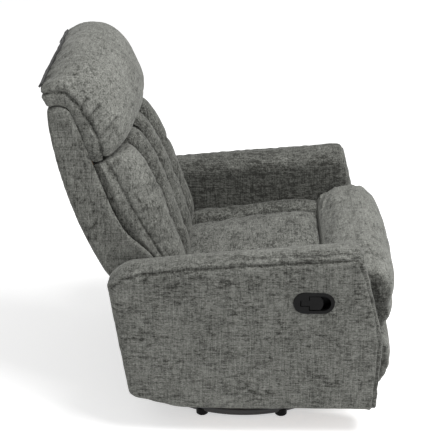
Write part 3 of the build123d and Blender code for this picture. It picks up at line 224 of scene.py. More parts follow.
def powderBlack():
    shop = Shop("powderBlack")
    peel = shop.cloud(shop.place(), scale=420.0, detail=2.0)
    dust = shop.cloud(shop.place(), scale=24.0, detail=5.0)
    shop.set(
        Base_Color=shop.ramp(dust, (0.35, (0.009, 0.009, 0.010)), (0.8, (0.028, 0.028, 0.028))),
        Roughness=0.34 + dust * 0.24,
        Normal=shop.bump(peel, strength=0.16, distance=0.0005),
    )
    return shop.material


def zincPlate():
    shop = Shop("zincPlate")
    brushed = shop.cloud(shop.place(stretch=(1.0, 0.12, 1.0)), scale=500.0)
    spangle = shop.cloud(shop.place(), scale=70.0)
    mixed = brushed * 0.5 + spangle * 0.5
    shop.set(
        Base_Color=shop.ramp(mixed, (0.3, (0.33, 0.33, 0.32)), (0.7, (0.56, 0.56, 0.54))),
        Metallic=1.0,
        Roughness=0.24 + spangle * 0.22,
        Normal=shop.bump(brushed, strength=0.08, distance=0.0003),
    )
    return shop.material


def planedTimber():
    shop = Shop("planedTimber")
    grain = shop.cloud(shop.place(stretch=(6.0, 1.0, 6.0)), scale=22.0, detail=6.0, rough=0.6)
    pores = shop.cloud(shop.place(stretch=(1.0, 0.06, 1.0)), scale=420.0, detail=2.0)
    stops = (0.28, (0.20, 0.105, 0.045)), (0.55, (0.40, 0.245, 0.12)), (0.8, (0.52, 0.35, 0.19))
    shop.set(
        Base_Color=shop.ramp(grain * 0.8 + pores * 0.2, *stops),
        Roughness=0.55 + pores * 0.25,
        Normal=shop.bump(grain + pores, strength=0.15, distance=0.0006),
    )
    return shop.material


def blackenedZip():
    shop = Shop("blackenedZip")
    wornEdge = shop.cloud(shop.place(), scale=300.0)
    shop.set(
        Base_Color=shop.ramp(wornEdge, (0.35, (0.010, 0.010, 0.010)), (0.8, (0.040, 0.040, 0.038))),
        Roughness=0.4 + wornEdge * 0.3,
        Normal=shop.bump(wornEdge, strength=0.2, distance=0.0004),
    )
    return shop.material


def darkCambric():
    shop = Shop("darkCambric")
    fibre = shop.cloud(shop.place(), scale=260.0, detail=4.0, rough=0.7)
    tuft = shop.cloud(shop.place(), scale=38.0, detail=4.0)
    mixed = fibre * 0.6 + tuft * 0.4
    shop.set(
        Base_Color=shop.ramp(mixed, (0.3, (0.012, 0.012, 0.012)), (0.75, (0.045, 0.045, 0.044))),
        Roughness=0.86 + fibre * 0.1,
        Normal=shop.bump(fibre, strength=0.5, distance=0.0015),
    )
    return shop.material


# copies of the one cloth differ in nap direction and contrast; tone sets each lighter or darker to match how bright
# that cushion shows under the light: painted light and shade
armCloth = chenille("armCloth", (1.0, 0.5, 1.1), contrast=1.2, tone=-0.005)
backCloth = chenille("backCloth", (0.8, 1.0, 0.6), contrast=1.15, turn=chenilleLook["lean"], tone=-0.015)
seatCloth = chenille("seatCloth", (0.6, 0.9, 1.0), contrast=1.4, tone=-0.045)
rollCloth = chenille("rollCloth", (0.6, 0.9, 1.0), contrast=1.1, tone=0.055)
pillowCloth = chenille("pillowCloth", (0.8, 0.9, 0.8), contrast=1.15, turn=chenilleLook["lean"], tone=0.02)
lining = darkCambric()
zipBlack = blackenedZip()
slotFinish = {
    "upholstery": backCloth,
    "lining": lining,
    "black_steel": powderBlack(),
    "zinc_steel": zincPlate(),
    "timber": planedTimber(),
    "black_plastic": mouldedBlack(),
}
for part in frame["record"]["subparts"]:
    node = nodes[part["node"]]
    node.data.materials.clear()
    node.data.materials.append(slotFinish[part["material_slot"]])
print("finishes made:", len(bpy.data.materials))


def pick(piece):
    bpy.ops.object.select_all(action="DESELECT")
    piece.select_set(True)
    bpy.context.view_layer.objects.active = piece


def points(piece):
    flat = np.empty(len(piece.data.vertices) * 3, np.float32)
    piece.data.vertices.foreach_get("co", flat)
    return flat.reshape(-1, 3).astype(float)


def normals(piece):
    flat = np.empty(len(piece.data.vertices) * 3, np.float32)
    piece.data.vertex_normals.foreach_get("vector", flat)
    return flat.reshape(-1, 3).astype(float)


def setPoints(piece, spots):
    piece.data.vertices.foreach_set("co", np.ascontiguousarray(spots, np.float32).ravel())
    piece.data.update()


def finishModifier(piece, kind, **settings):
    pick(piece)
    modifier = piece.modifiers.new(kind.title(), kind)
    for key, value in settings.items():
        setattr(modifier, key, value)
    bpy.ops.object.modifier_apply(modifier=modifier.name)


def copyOf(node, name):
    piece = bpy.data.objects.new(name, nodes[node].data.copy())
    scene.collection.objects.link(piece)
    pick(piece)
    bpy.ops.object.mode_set(mode="EDIT")
    bpy.ops.mesh.select_all(action="SELECT")
    bpy.ops.mesh.remove_doubles(threshold=0.0002)
    bpy.ops.object.mode_set(mode="OBJECT")
    return piece


def remesh(piece, voxel):
    finishModifier(piece, "REMESH", mode="VOXEL", voxel_size=voxel, use_smooth_shade=True)


def refine(piece, levels=2):
    finishModifier(piece, "SUBSURF", levels=levels, render_levels=levels)


# cloth under air pressure, held where the cover is sewn or rests, and stopped at a set distance
def plump(piece, held, cap, pressure, slack, frames=20):
    before = points(piece)
    group = piece.vertex_groups.new(name="held")
    group.add([int(n) for n in np.nonzero(held)[0]], 1.0, "REPLACE")
    pick(piece)
    modifier = piece.modifiers.new("Cloth", "CLOTH")
    cloth = modifier.settings
    cloth.quality = 5
    cloth.mass = 0.2
    cloth.tension_stiffness = cloth.compression_stiffness = 14.0
    cloth.shear_stiffness = 6.0
    cloth.bending_stiffness = 0.6
    cloth.use_pressure = True
    cloth.uniform_pressure_force = pressure
    cloth.shrink_min = -slack
    cloth.effector_weights.gravity = 0.0
    cloth.vertex_group_mass = "held"
    modifier.collision_settings.use_collision = False
    modifier.point_cache.frame_start = 1
    modifier.point_cache.frame_end = frames
    for step in range(1, frames + 1):
        scene.frame_set(step)
    bpy.ops.object.modifier_apply(modifier=modifier.name)
    scene.frame_set(1)
    piece.vertex_groups.clear()
    move = points(piece) - before
    size = np.linalg.norm(move, axis=1, keepdims=True)
    soft = cap * np.tanh(size / cap) / np.maximum(size, 1e-9)
    setPoints(piece, before + move * soft)
    print(piece.name, "plumped, largest move", round(float((size * soft).max()) * 1000, 1), "mm")


# distance to a drawn line, how far along it, and on which side
def toLine(u, v, line):
    best = np.full(len(u), 1e9)
    along = np.zeros(len(u))
    side = np.zeros(len(u))
    gone = 0.0
    for (u0, v0), (u1, v1) in zip(line, line[1:]):
        du, dv = u1 - u0, v1 - v0
        run = math.hypot(du, dv)
        share = np.clip(((u - u0) * du + (v - v0) * dv) / run**2, 0.0, 1.0)
        far = np.hypot(u - u0 - share * du, v - v0 - share * dv)
        near = far < best
        best = np.where(near, far, best)
        along = np.where(near, gone + share * run, along)
        side = np.where(near, np.sign(du * (v - v0) - dv * (u - u0)), side)
        gone += run
    return best, along, side


# 1 on a line, falling off to both sides of it
def dip(far, width):
    return np.exp(-((far / width) ** 2))


# 0 up to the start, 1 from the end on
def fade(value, start, end):
    share = np.clip((value - start) / (end - start), 0.0, 1.0)
    return share * share * (3 - 2 * share)


# uneven gathers along a seam
def gathers(u, pitch, seed):
    total = np.zeros(len(u))
    for turn, share, size in ((1.0, 0.0, 1.0), (0.73, 1.7, 0.7), (1.43, 4.1, 0.55)):
        total += size * np.sin(2 * math.pi * u / (pitch * turn) + share + seed)
    return total / 2.0


def lumps(spots, scale, seed):
    return np.array([noise.noise(Vector((p * scale).tolist()) + Vector((seed, 0.3 * seed, 0))) for p in spots])


# unevenness of stuffed cloth, as the height, scale and seed of each wave
def uneven(spots, waves, shift=0):
    return sum(height * lumps(spots, scale, seed + shift) for height, scale, seed in waves)


# painted shade: how far each point is pulled in by a seam or lies where shade falls, which the cloth paints darker
def markPaintedShade(piece, share):
    layer = piece.data.attributes.new("paintedShade", "FLOAT", "POINT")
    layer.data.foreach_set("value", np.ascontiguousarray(share.clip(0.0, 1.0), np.float32))


def wear(piece, cloth, body, *stands, fill):
    pick(piece)
    bpy.ops.object.shade_smooth()
    piece.data.materials.clear()
    piece.data.materials.append(cloth)
    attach(piece, body)
    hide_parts(*stands)
    print(piece.name, "done:", len(piece.data.polygons), "faces")


# leaning frame of the back: w up along it, t forward from its rear face
lean = {"angle": math.radians(19.2), "y": 0.292, "z": 0.470}


def leaning(spots):
    up, ahead = math.sin(lean["angle"]), math.cos(lean["angle"])
    dy, dz = spots[:, 1] - lean["y"], spots[:, 2] - lean["z"]
    return dy * up + dz * ahead, dz * up - dy * ahead


# moves points forward in the leaning frame
def pushForward(spots, far):
    spots[:, 1] -= far * math.cos(lean["angle"])
    spots[:, 2] += far * math.sin(lean["angle"])


camera = {
    "target": (0.0, 0.010, 0.435),
    "azimuth": 271.2,
    "elevation": 24.8,
    "distance": 3.32,
    "lens": 100.0,
    "sensor": 36.0,
}
turn, tilt = math.radians(camera["azimuth"]), math.radians(camera["elevation"])
back = Vector((math.sin(turn) * math.cos(tilt), -math.cos(turn) * math.cos(tilt), math.sin(tilt)))
bpy.ops.object.camera_add(location=Vector(camera["target"]) + back * camera["distance"])
eye = bpy.context.object
eye.rotation_euler = (-back).to_track_quat("-Z", "Y").to_euler()
eye.data.lens = camera["lens"]
eye.data.sensor_width = camera["sensor"]
scene.camera = eye

studio = {
    "world": 0.40,
    "floor": 0.9,
    "floorGlow": 0.53,
    "floorSize": 40,
    "key": {"spot": (-0.8, -1.6, 3.4), "aim": (0, 0, 0.45), "size": 1.8, "power": 122.0},
    "fill": {"spot": (-2.6, 1.2, 2.2), "aim": (0, 0, 0.4), "size": 2.0, "power": 9.0},
}
scene.world = bpy.data.worlds.new("studio")
shop = Shop("studio", scene.world)
room = shop.node("ShaderNodeBackground", {}, {"Color": (1, 1, 1, 1), "Strength": studio["world"]})
white = shop.node("ShaderNodeBackground", {}, {"Color": (1, 1, 1, 1), "Strength": 1.0})
shop.finish(shop.node("ShaderNodeMixShader", {}, {0: shop.inSight(), 1: room, 2: white}))


def softbox(name, spot, aim, size, power):
    bpy.ops.object.light_add(type="AREA", location=spot)
    lamp = bpy.context.object
    lamp.name = name
    lamp.data.size = size
    lamp.data.energy = power
    lamp.rotation_euler = (Vector(aim) - Vector(spot)).to_track_quat("-Z", "Y").to_euler()


softbox("keySoftbox", **studio["key"])
softbox("fillSoftbox", **studio["fill"])

bpy.ops.mesh.primitive_plane_add(size=studio["floorSize"])
floor = bpy.context.object
floor.name = "studioFloor"
shop = Shop("paleFloor")
pale = studio["floor"]
shop.set(Base_Color=(pale, pale, pale, 1.0), Roughness=0.95, Specular_IOR_Level=0.0)
glow = shop.node("ShaderNodeEmission", {}, {"Color": (1, 1, 1, 1), "Strength": shop.inSight() * studio["floorGlow"]})
lit = Wire(shop, shop.shader.outputs[0])
shop.finish(shop.node("ShaderNodeAddShader", {}, {0: lit, 1: glow}))
floor.data.materials.append(shop.material)
floor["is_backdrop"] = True
scene.view_settings.view_transform = "Standard"
print("camera, light and floor set")


armShape = {
    "inner": 0.277,
    "outer": 0.379,
    "corners": [
        (-0.396, 0.074),
        (-0.404, 0.270),
        (-0.342, 0.527),
        (0.232, 0.472),
        (0.282, 0.432),
        (0.236, 0.106),
        (0.112, 0.074),
    ],
    "bevel": 0.016,
    "voxel": 0.0116,
    "outside": (0.335, 0.362),
    # painted shade: faces turned inward, to the front and up are darkened by how they face, with the darkness of
    # each below
    "facing": {"inside": (0.3, 0.8), "nose": (0.35, 0.8), "top": (0.3, 0.8)},
    "dark": {"inside": 0.78, "nose": 0.55},
    "puff": {"height": 0.004, "halfDepth": 0.34, "halfHeight": 0.23},
    "innerFall": {"from": 0.338, "over": 0.060, "drop": 0.020},
    "outerFall": {"from": 0.345, "over": 0.034, "drop": 0.006},
    "fallNearRidge": (-0.07, -0.012),
    "topSeam": [(0.270, 0.424), (0.240, 0.452), (0.193, 0.465), (0.059, 0.479), (-0.161, 0.497), (-0.330, 0.509)],
    "frontSeam": [
        (-0.330, 0.509),
        (-0.356, 0.440),
        (-0.380, 0.350),
        (-0.393, 0.270),
        (-0.392, 0.180),
        (-0.386, 0.080),
    ],
    "seam": {"depth": 0.0045, "width": 0.0032, "frontShare": 0.8},
    "tape": {"off": 0.0125, "width": 0.0028, "share": 0.8},
    "lap": {"height": 0.0018, "top": (0.006, 0.004), "front": (0.007, 0.005)},
    "pucker": 0.0011,
    "topPucker": {"width": 0.022, "pitch": 0.034, "seed": 0.4},
    "frontPucker": {"width": 0.018, "pitch": 0.040, "seed": 1.9},
    "tucks": [
        [(-0.332, 0.516), (-0.317, 0.484)],
        [(-0.332, 0.516), (-0.315, 0.513)],
        [(-0.332, 0.516), (-0.344, 0.500)],
    ],
    "tuckWidth": 0.003,
    "waves": ((0.0018, 9.0, 3.0), (0.0007, 30.0, 8.0)),
    "noseRound": {"reach": 0.020, "from": -0.285, "over": 0.11},
    # painted shade along the arm's seams
    "seamShadeShare": 0.85,
}


def armBlock(name):
    corners = armShape["corners"]
    ys, zs = zip(*corners)
    low = Vector((armShape["inner"], min(ys), min(zs)))
    high = Vector((armShape["outer"], max(ys), max(zs)))
    bpy.ops.object.select_all(action="DESELECT")
    bpy.ops.mesh.primitive_cube_add(size=1.0, location=(low + high) / 2, scale=high - low)
    arm = bpy.context.object
    arm.name = name
    bpy.ops.object.transform_apply(location=True, rotation=True, scale=True)
    bpy.ops.object.mode_set(mode="EDIT")
    for (y0, z0), (y1, z1) in zip(corners, corners[1:] + corners[:1]):
        bpy.ops.mesh.select_all(action="SELECT")
        bpy.ops.mesh.bisect(plane_co=(0, y0, z0), plane_no=(0, z0 - z1, y1 - y0), use_fill=True, clear_outer=True)
    bpy.ops.mesh.select_all(action="SELECT")
    bpy.ops.mesh.normals_make_consistent(inside=False)
    bpy.ops.mesh.bevel(offset=armShape["bevel"], segments=4, affect="EDGES")
    bpy.ops.object.mode_set(mode="OBJECT")
    remesh(arm, armShape["voxel"])
    refine(arm)
    return arm


# how far the top sinks towards its two long edges
def topFall(x, y, z):
    inner, outer = armShape["innerFall"], armShape["outerFall"]
    inward = ((inner["from"] - x) / inner["over"]).clip(0, 1)
    outward = ((x - outer["from"]) / outer["over"]).clip(0, 1)
    ridge = np.interp(y, *zip(*armShape["corners"][2:5]))
    sunk = inner["drop"] * inward**2 + outer["drop"] * outward**2
    return sunk * fade(z - ridge, *armShape["fallNearRidge"])


# pull and move of the seams on the outer face
def armSeams(x, y, z):
    seam, tape, lap = armShape["seam"], armShape["tape"], armShape["lap"]
    top, front = armShape["topPucker"], armShape["frontPucker"]
    outside = fade(x, *armShape["outside"])
    far, along, side = toLine(y, z, armShape["topSeam"])
    edge, down, _ = toLine(y, z, armShape["frontSeam"])
    taped = dip(far - tape["off"], tape["width"]) * (side < 0)
    frontPull = seam["frontShare"] * dip(edge, seam["width"])
    pull = outside * np.maximum.reduce((dip(far, seam["width"]), frontPull, tape["share"] * taped))
    topLap = dip(far - lap["top"][0], lap["top"][1]) * (side < 0)
    lapped = outside * np.maximum(topLap, dip(edge - lap["front"][0], lap["front"][1]))
    pucker = dip(far, top["width"]) * gathers(along, top["pitch"], top["seed"])
    pucker = outside * (pucker + dip(edge, front["width"]) * gathers(down, front["pitch"], front["seed"]))
    for tuck in armShape["tucks"]:
        pull = np.maximum(pull, outside * dip(toLine(y, z, tuck)[0], armShape["tuckWidth"]))
    return pull, lap["height"] * lapped - seam["depth"] * pull + armShape["pucker"] * pucker


def makeArm(name, hand, topShade):
    arm = armBlock(name)
    spots, out = points(arm), normals(arm)
    x, y, z = spots.T
    facing, tones = armShape["facing"], armShape["dark"]
    # painted shade on the inner face, the front face and the top, by the way each faces
    shaded = np.maximum.reduce(
        (
            tones["inside"] * fade(-out[:, 0], *facing["inside"]),
            tones["nose"] * fade(-out[:, 1], *facing["nose"]),
            topShade * fade(out[:, 2], *facing["top"]),
        )
    )
    puff = armShape["puff"]
    ys, zs = zip(*armShape["corners"])
    middleY, middleZ = (min(ys) + max(ys)) / 2, (min(zs) + max(zs)) / 2
    lengthwise = (1 - ((y - middleY) / puff["halfDepth"]) ** 2).clip(0)
    upright = (1 - ((z - middleZ) / puff["halfHeight"]) ** 2).clip(0)
    pull, sewn = armSeams(x, y, z)
    move = puff["height"] * lengthwise * upright * np.abs(out[:, 0]) + sewn
    move += uneven(spots, armShape["waves"], hand)
    spots = spots + out * move[:, None]
    spots[:, 2] -= topFall(x, y, z)
    nose = armShape["noseRound"]
    ahead = ((nose["from"] - y) / nose["over"]).clip(0, 1) ** 2
    spots[:, 0] += nose["reach"] * ahead * (armShape["outer"] - x) / (armShape["outer"] - armShape["inner"])
    spots[:, 0] *= hand
    setPoints(arm, spots)
    # painted shade along the seams and on the shaded faces
    markPaintedShade(arm, np.maximum(armShape["seamShadeShare"] * pull, shaded))
    if hand < 0:
        arm.data.flip_normals()
    return arm


# painted shade on the top of the left arm only
leftArm = makeArm("leftArm", 1, topShade=0.6)
wear(leftArm, armCloth, "chassis", "arm_cover_left", fill=0.8)
rightArm = makeArm("rightArm", -1, topShade=0.0)

# the hole that the handle's bezel sits in
handleMouth = {"y": -0.228, "z": 0.389, "length": 0.0945, "height": 0.0505, "floor": -0.338, "run": 0.10}
bpy.ops.object.select_all(action="DESELECT")
bpy.ops.mesh.primitive_cylinder_add(vertices=64, radius=handleMouth["height"] / 2, depth=handleMouth["run"])
mouth = bpy.context.object
shift = (handleMouth["length"] - handleMouth["height"]) / 2
spots = points(mouth)
spots[:, 1] += np.sign(spots[:, 1]) * shift * (np.abs(spots[:, 1]) > 1e-5)
turned = np.stack((spots[:, 2], spots[:, 1], spots[:, 0]), axis=1)
turned += np.array((handleMouth["floor"] - handleMouth["run"] / 2, handleMouth["y"], handleMouth["z"]))
setPoints(mouth, turned)
pick(mouth)
bpy.ops.object.mode_set(mode="EDIT")
bpy.ops.mesh.select_all(action="SELECT")
bpy.ops.mesh.normals_make_consistent(inside=False)
bpy.ops.object.mode_set(mode="OBJECT")
finishModifier(rightArm, "BOOLEAN", operation="DIFFERENCE", object=mouth, solver="EXACT")
bpy.data.objects.remove(mouth)
wear(rightArm, armCloth, "chassis", "arm_cover_right", fill=0.8)


shellShape = {
    "voxel": 0.006,
    "softTo": 0.022,
    "rearRounds": 14,
    "allRounds": 3,
    "waves": ((0.0014, 10.0, 5.0), (0.0006, 32.0, 6.0)),
    "swell": {"height": 0.004, "behind": (-0.02, 0.01), "above": (-0.11, -0.05)},
    "cheek": {"reach": 0.014, "ahead": (0.040, 0.075), "above": (-0.15, -0.10), "below": (-0.05, 0.04)},
}
shell = copyOf("back_cover", "backShell")
remesh(shell, shellShape["voxel"])
w, t = leaning(points(shell))
rearward = shell.vertex_groups.new(name="rearward")
rearward.add([int(n) for n in np.nonzero(t < shellShape["softTo"])[0]], 1.0, "REPLACE")
finishModifier(shell, "SMOOTH", factor=0.5, iterations=shellShape["rearRounds"], vertex_group="rearward")
shell.vertex_groups.clear()
finishModifier(shell, "SMOOTH", factor=0.5, iterations=shellShape["allRounds"])
spots, out = points(shell), normals(shell)
w, t = leaning(spots)
swell, cheek = shellShape["swell"], shellShape["cheek"]
move = uneven(spots, shellShape["waves"])
move += swell["height"] * (1 - fade(t, *swell["behind"])) * fade(w, *swell["above"])
spots = spots + out * move[:, None]
beside = fade(t, *cheek["ahead"]) * fade(w, *cheek["above"]) * (1 - fade(w, *cheek["below"]))
pushForward(spots, cheek["reach"] * beside)
setPoints(shell, spots)
wear(shell, backCloth, "backrest", "back_cover", fill=0.5)


lumbarShape = {
    "voxel": 0.008,
    "grooves": (-0.123, 0.0, 0.123),
    "held": {"behind": 0.07, "ahead": 0.08, "nearGroove": 0.011},
    "plump": {"cap": 0.007, "pressure": 5.0, "slack": 0.03},
    "front": (0.070, 0.100),
    "wander": {"reach": 0.0015, "rate": 40.0, "shift": 30},
    # the groove's shade width sets how far painted shade spreads to both sides of each channel
    "groove": {"depth": 0.016, "width": 0.009, "shade": 0.042},
    "pinch": {"height": 0.0014, "width": 0.030, "slant": 0.2, "pitch": 0.036, "shift": 50},
    "sides": (0.215, 0.238),
    "sideSeam": [(0.215, 0.082), (0.131, 0.095), (0.029, 0.109), (-0.066, 0.124), (-0.175, 0.134)],
    # tone here is the painted shade along the side seam
    "seam": {"depth": 0.0032, "width": 0.003, "tone": 0.6},
    "ruffle": {"height": 0.0010, "width": 0.02, "pitch": 0.026, "seed": 0.9},
    "topBack": {"reach": 0.008, "above": (0.05, 0.20)},
    "waves": ((0.0022, 11.0, 2.0), (0.0008, 34.0, 4.0)),
    "lip": ((-0.135, -0.07, 0.02, 0.11, 0.25), (0.098, 0.096, 0.066, 0.055, 0.054)),
    "tray": 0.2450,
    "overhang": {"reach": 0.009, "ahead": (0.0, 0.020)},
    "sideways": {"facing": (0.25, 0.7), "beyond": (0.195, 0.220), "before": (0.45, 1.0), "limits": (-0.002, 0.03)},
    "flange": {"reach": 0.016, "beyond": (0.222, 0.240), "ahead": (-0.004, 0.012)},
    # painted shade along the gap at the shell's lip
    "gap": {"off": 0.001, "width": 0.006},
}
lumbar = copyOf("back_cushion", "channelCushion")
remesh(lumbar, lumbarShape["voxel"])
spots = points(lumbar)
w, t = leaning(spots)
rule = lumbarShape["held"]
held = t < rule["behind"]
for groove in lumbarShape["grooves"]:
    held |= (np.abs(spots[:, 0] - groove) < rule["nearGroove"]) & (t > rule["ahead"])
plump(lumbar, held, **lumbarShape["plump"])
refine(lumbar)
spots, out = points(lumbar), normals(lumbar)
w, t = leaning(spots)
x = spots[:, 0]
front = fade(t, *lumbarShape["front"])
move = np.zeros(len(x))
pull = np.zeros(len(x))
shaded = np.zeros(len(x))
wander, channel, pinch = lumbarShape["wander"], lumbarShape["groove"], lumbarShape["pinch"]
for groove in lumbarShape["grooves"]:
    off = np.abs(x - groove - wander["reach"] * np.sin(w * wander["rate"] + groove * wander["shift"]))
    pull = np.maximum(pull, front * dip(off, channel["width"]))
    shaded = np.maximum(shaded, front * dip(off, channel["shade"]))
    folds = gathers(w + pinch["slant"] * off * np.sign(x - groove), pinch["pitch"], groove * pinch["shift"])
    move += pinch["height"] * dip(off, pinch["width"]) * front * folds
seam, ruffle, topBack = lumbarShape["seam"], lumbarShape["ruffle"], lumbarShape["topBack"]
sides = fade(np.abs(x), *lumbarShape["sides"])
far, along, _ = toLine(w, t, lumbarShape["sideSeam"])
sewn = sides * dip(far, seam["width"])
move -= channel["depth"] * pull + seam["depth"] * sewn + topBack["reach"] * front * fade(w, *topBack["above"])
move += sides * ruffle["height"] * dip(far, ruffle["width"]) * gathers(along, ruffle["pitch"], ruffle["seed"])
move += uneven(spots, lumbarShape["waves"])
spots = spots + out * move[:, None]

# the side face stands out to the shell's lip, and its rear edge tucks in behind that lip
lip = np.interp(w, *lumbarShape["lip"])
seamAt = np.interp(w, *zip(*lumbarShape["sideSeam"][::-1]))
across = ((t - lip) / (seamAt - lip).clip(0.004)).clip(0, 1)
overhang, sideways, flange = lumbarShape["overhang"], lumbarShape["sideways"], lumbarShape["flange"]
wide = lumbarShape["tray"] + overhang["reach"] * fade(t - lip, *overhang["ahead"])
share = fade(np.abs(out[:, 0]), *sideways["facing"]) * fade(np.abs(x), *sideways["beyond"])
share = share * (1 - fade(across, *sideways["before"]))
spots[:, 0] += np.sign(x) * share * (wide - np.abs(spots[:, 0])).clip(*sideways["limits"])
tucked = fade(np.abs(spots[:, 0]), *flange["beyond"]) * (1 - fade(t - lip, *flange["ahead"]))
pushForward(spots, -flange["reach"] * tucked)
setPoints(lumbar, spots)
# painted shade: darker across the channel valleys, along the side seams and in the gap at the shell's lip
gap = sides * dip(t - lip - lumbarShape["gap"]["off"], lumbarShape["gap"]["width"])
markPaintedShade(lumbar, np.maximum.reduce((shaded, seam["tone"] * sewn, gap)))
wear(lumbar, backCloth, "backrest", "back_cushion", fill=0.75)


pillowShape = {
    "voxel": 0.010,
    "held": {"behind": 0.066, "below": 0.446},
    "plump": {"cap": 0.005, "pressure": 5.0, "slack": 0.04},
    "zip": (0.440, 0.002),
    "overZip": {"above": (0.434, 0.444), "ahead": (-0.004, 0.006)},
    "spread": {"share": 0.5, "reach": 0.2},
    "pucker": {"height": 0.0026, "reach": 0.022, "pitch": 0.012, "seed": 1.0},
    "fold": {"height": 0.0026, "reach": 0.07, "pitch": 0.043, "seed": 2.4},
    "ends": (0.195, 0.235),
    "roundEnd": (0.150, 0.190),
    "sideSeam": [
        (0.430, 0.0),
        (0.427, 0.030),
        (0.418, 0.058),
        (0.381, 0.077),
        (0.340, 0.084),
        (0.293, 0.092),
        (0.228, 0.085),
    ],
    "seam": {"depth": 0.005, "width": 0.004},
    "lap": {"height": 0.002, "off": 0.012, "width": 0.008},
    "ruffle": {"height": 0.0025, "reach": 0.03, "pitch": 0.030, "seed": 3.0, "from": (0.002, 0.012)},
    "tucks": [
        [(0.369, 0.080), (0.383, 0.101)],
        [(0.339, 0.087), (0.355, 0.121)],
        [(0.284, 0.094), (0.307, 0.147)],
    ],
    "tuck": {"width": 0.0035, "height": 0.002, "off": 0.009, "lap": 0.005},
    "waves": ((0.0035, 7.0, 9.0), (0.0012, 22.0, 1.0)),
    "waveAhead": (0.0, 0.03),
    "slim": {"reach": 0.004, "ahead": (0.10, 0.16)},
    "tuckIn": {"reach": 0.005, "ahead": (0.044, 0.054), "behind": (0.062, 0.080), "below": (0.36, 0.39)},
    # painted shade in the end seams and tucks, and in the hollows of the puckers
    "seamShade": 0.8,
    "puckerShade": 0.9,
}
pillow = copyOf("head_pillow", "headPillow")
remesh(pillow, pillowShape["voxel"])
w, t = leaning(points(pillow))
rule = pillowShape["held"]
plump(pillow, (t < rule["behind"]) & (w < rule["below"]), **pillowShape["plump"])
refine(pillow)
spots, out = points(pillow), normals(pillow)
w, t = leaning(spots)
x = spots[:, 0]

# gathers that fan out from the zip
pucker, fold, fan = pillowShape["pucker"], pillowShape["fold"], pillowShape["spread"]
fromZip = np.hypot(w - pillowShape["zip"][0], t - pillowShape["zip"][1])
above = fade(w, *pillowShape["overZip"]["above"]) * fade(t, *pillowShape["overZip"]["ahead"])
spread = x * (1 - fan["share"] * fromZip.clip(0, fan["reach"]))
fine = gathers(spread, pucker["pitch"], pucker["seed"])
puckers = above * np.exp(-fromZip / pucker["reach"])
move = pucker["height"] * puckers * fine
move += above * fold["height"] * np.exp(-fromZip / fold["reach"]) * gathers(spread, fold["pitch"], fold["seed"])

# seam and tucks at the ends
seam, lap, ruffle, tuck = pillowShape["seam"], pillowShape["lap"], pillowShape["ruffle"], pillowShape["tuck"]
ends, roundEnd = fade(np.abs(x), *pillowShape["ends"]), fade(np.abs(x), *pillowShape["roundEnd"])
far, along, _ = toLine(w, t, pillowShape["sideSeam"])
pull = ends * dip(far, seam["width"])
move += ends * lap["height"] * dip(far - lap["off"], lap["width"])
folds = gathers(along, ruffle["pitch"], ruffle["seed"]) * fade(far, *ruffle["from"])
move += ends * ruffle["height"] * np.exp(-far / ruffle["reach"]) * folds
for line in pillowShape["tucks"]:
    near = toLine(w, t, line)[0]
    pull = np.maximum(pull, roundEnd * dip(near, tuck["width"]))
    move += roundEnd * tuck["height"] * dip(near - tuck["off"], tuck["lap"])
move -= seam["depth"] * pull
move += fade(t, *pillowShape["waveAhead"]) * uneven(spots, pillowShape["waves"])
move -= pillowShape["slim"]["reach"] * fade(t, *pillowShape["slim"]["ahead"])
spots = spots + out * move[:, None]
rule = pillowShape["tuckIn"]
tucked = ends * fade(t, *rule["ahead"]) * (1 - fade(t, *rule["behind"])) * (1 - fade(w, *rule["below"]))
pushForward(spots, -rule["reach"] * tucked)
setPoints(pillow, spots)
# painted shade in the seams, tucks and pucker hollows
markPaintedShade(
    pillow,
    np.maximum(pillowShape["seamShade"] * pull, pillowShape["puckerShade"] * puckers * (-fine).clip(0, 1)),
)
wear(pillow, pillowCloth, "backrest", "head_pillow", fill=0.8)


seatShape = {
    "voxel": 0.010,
    "border": 0.205,
    "held": {"below": 0.296, "nearBorder": 0.007, "above": 0.32},
    "plump": {"cap": 0.010, "pressure": 5.0, "slack": 0.03},
    "top": (0.3, 0.7),
    "wander": {"reach": 0.0012, "rate": 60.0},
    "seam": {"depth": 0.006, "width": 0.0045},
    "ruffle": {"height": 0.0012, "width": 0.030, "pitch": 0.034, "seed": 0.5},
    "waves": ((0.0030, 7.5, 12.0), (0.0010, 24.0, 2.5)),
    "reach": {"far": 0.010, "beyond": (0.22, 0.262), "above": (0.315, 0.335)},
    "forward": {"far": 0.012, "facing": (0.2, 0.8), "above": (0.30, 0.32)},
    # painted shade on the border strip beside the arms
    "borderShade": 0.42,
    "borderFrom": (0.203, 0.211),
}
seat = copyOf("seat_cushion", "seatCushion")
remesh(seat, seatShape["voxel"])
x, y, z = points(seat).T
rule = seatShape["held"]
sewn = (np.abs(np.abs(x) - seatShape["border"]) < rule["nearBorder"]) & (z > rule["above"])
plump(seat, (z < rule["below"]) | sewn, **seatShape["plump"])
refine(seat)
spots, out = points(seat), normals(seat)
x, y, z = spots.T
wander, seam, ruffle = seatShape["wander"], seatShape["seam"], seatShape["ruffle"]
reach, forward = seatShape["reach"], seatShape["forward"]
top = fade(out[:, 2], *seatShape["top"])
off = np.abs(np.abs(x) - seatShape["border"] - wander["reach"] * np.sin(y * wander["rate"]))
pull = top * dip(off, seam["width"])
move = ruffle["height"] * top * dip(off, ruffle["width"]) * gathers(y, ruffle["pitch"], ruffle["seed"])
move -= seam["depth"] * pull
move += uneven(spots, seatShape["waves"])
spots = spots + out * move[:, None]
spots[:, 0] += np.sign(x) * reach["far"] * fade(np.abs(x), *reach["beyond"]) * fade(z, *reach["above"])
spots[:, 1] -= forward["far"] * fade(-out[:, 1], *forward["facing"]) * fade(z, *forward["above"])
setPoints(seat, spots)
# painted shade on the border strip and in its seam
border = seatShape["borderShade"] * top * fade(np.abs(x), *seatShape["borderFrom"])
markPaintedShade(seat, np.maximum(pull, border))
wear(seat, seatCloth, "chassis", "seat_cushion", fill=0.75)


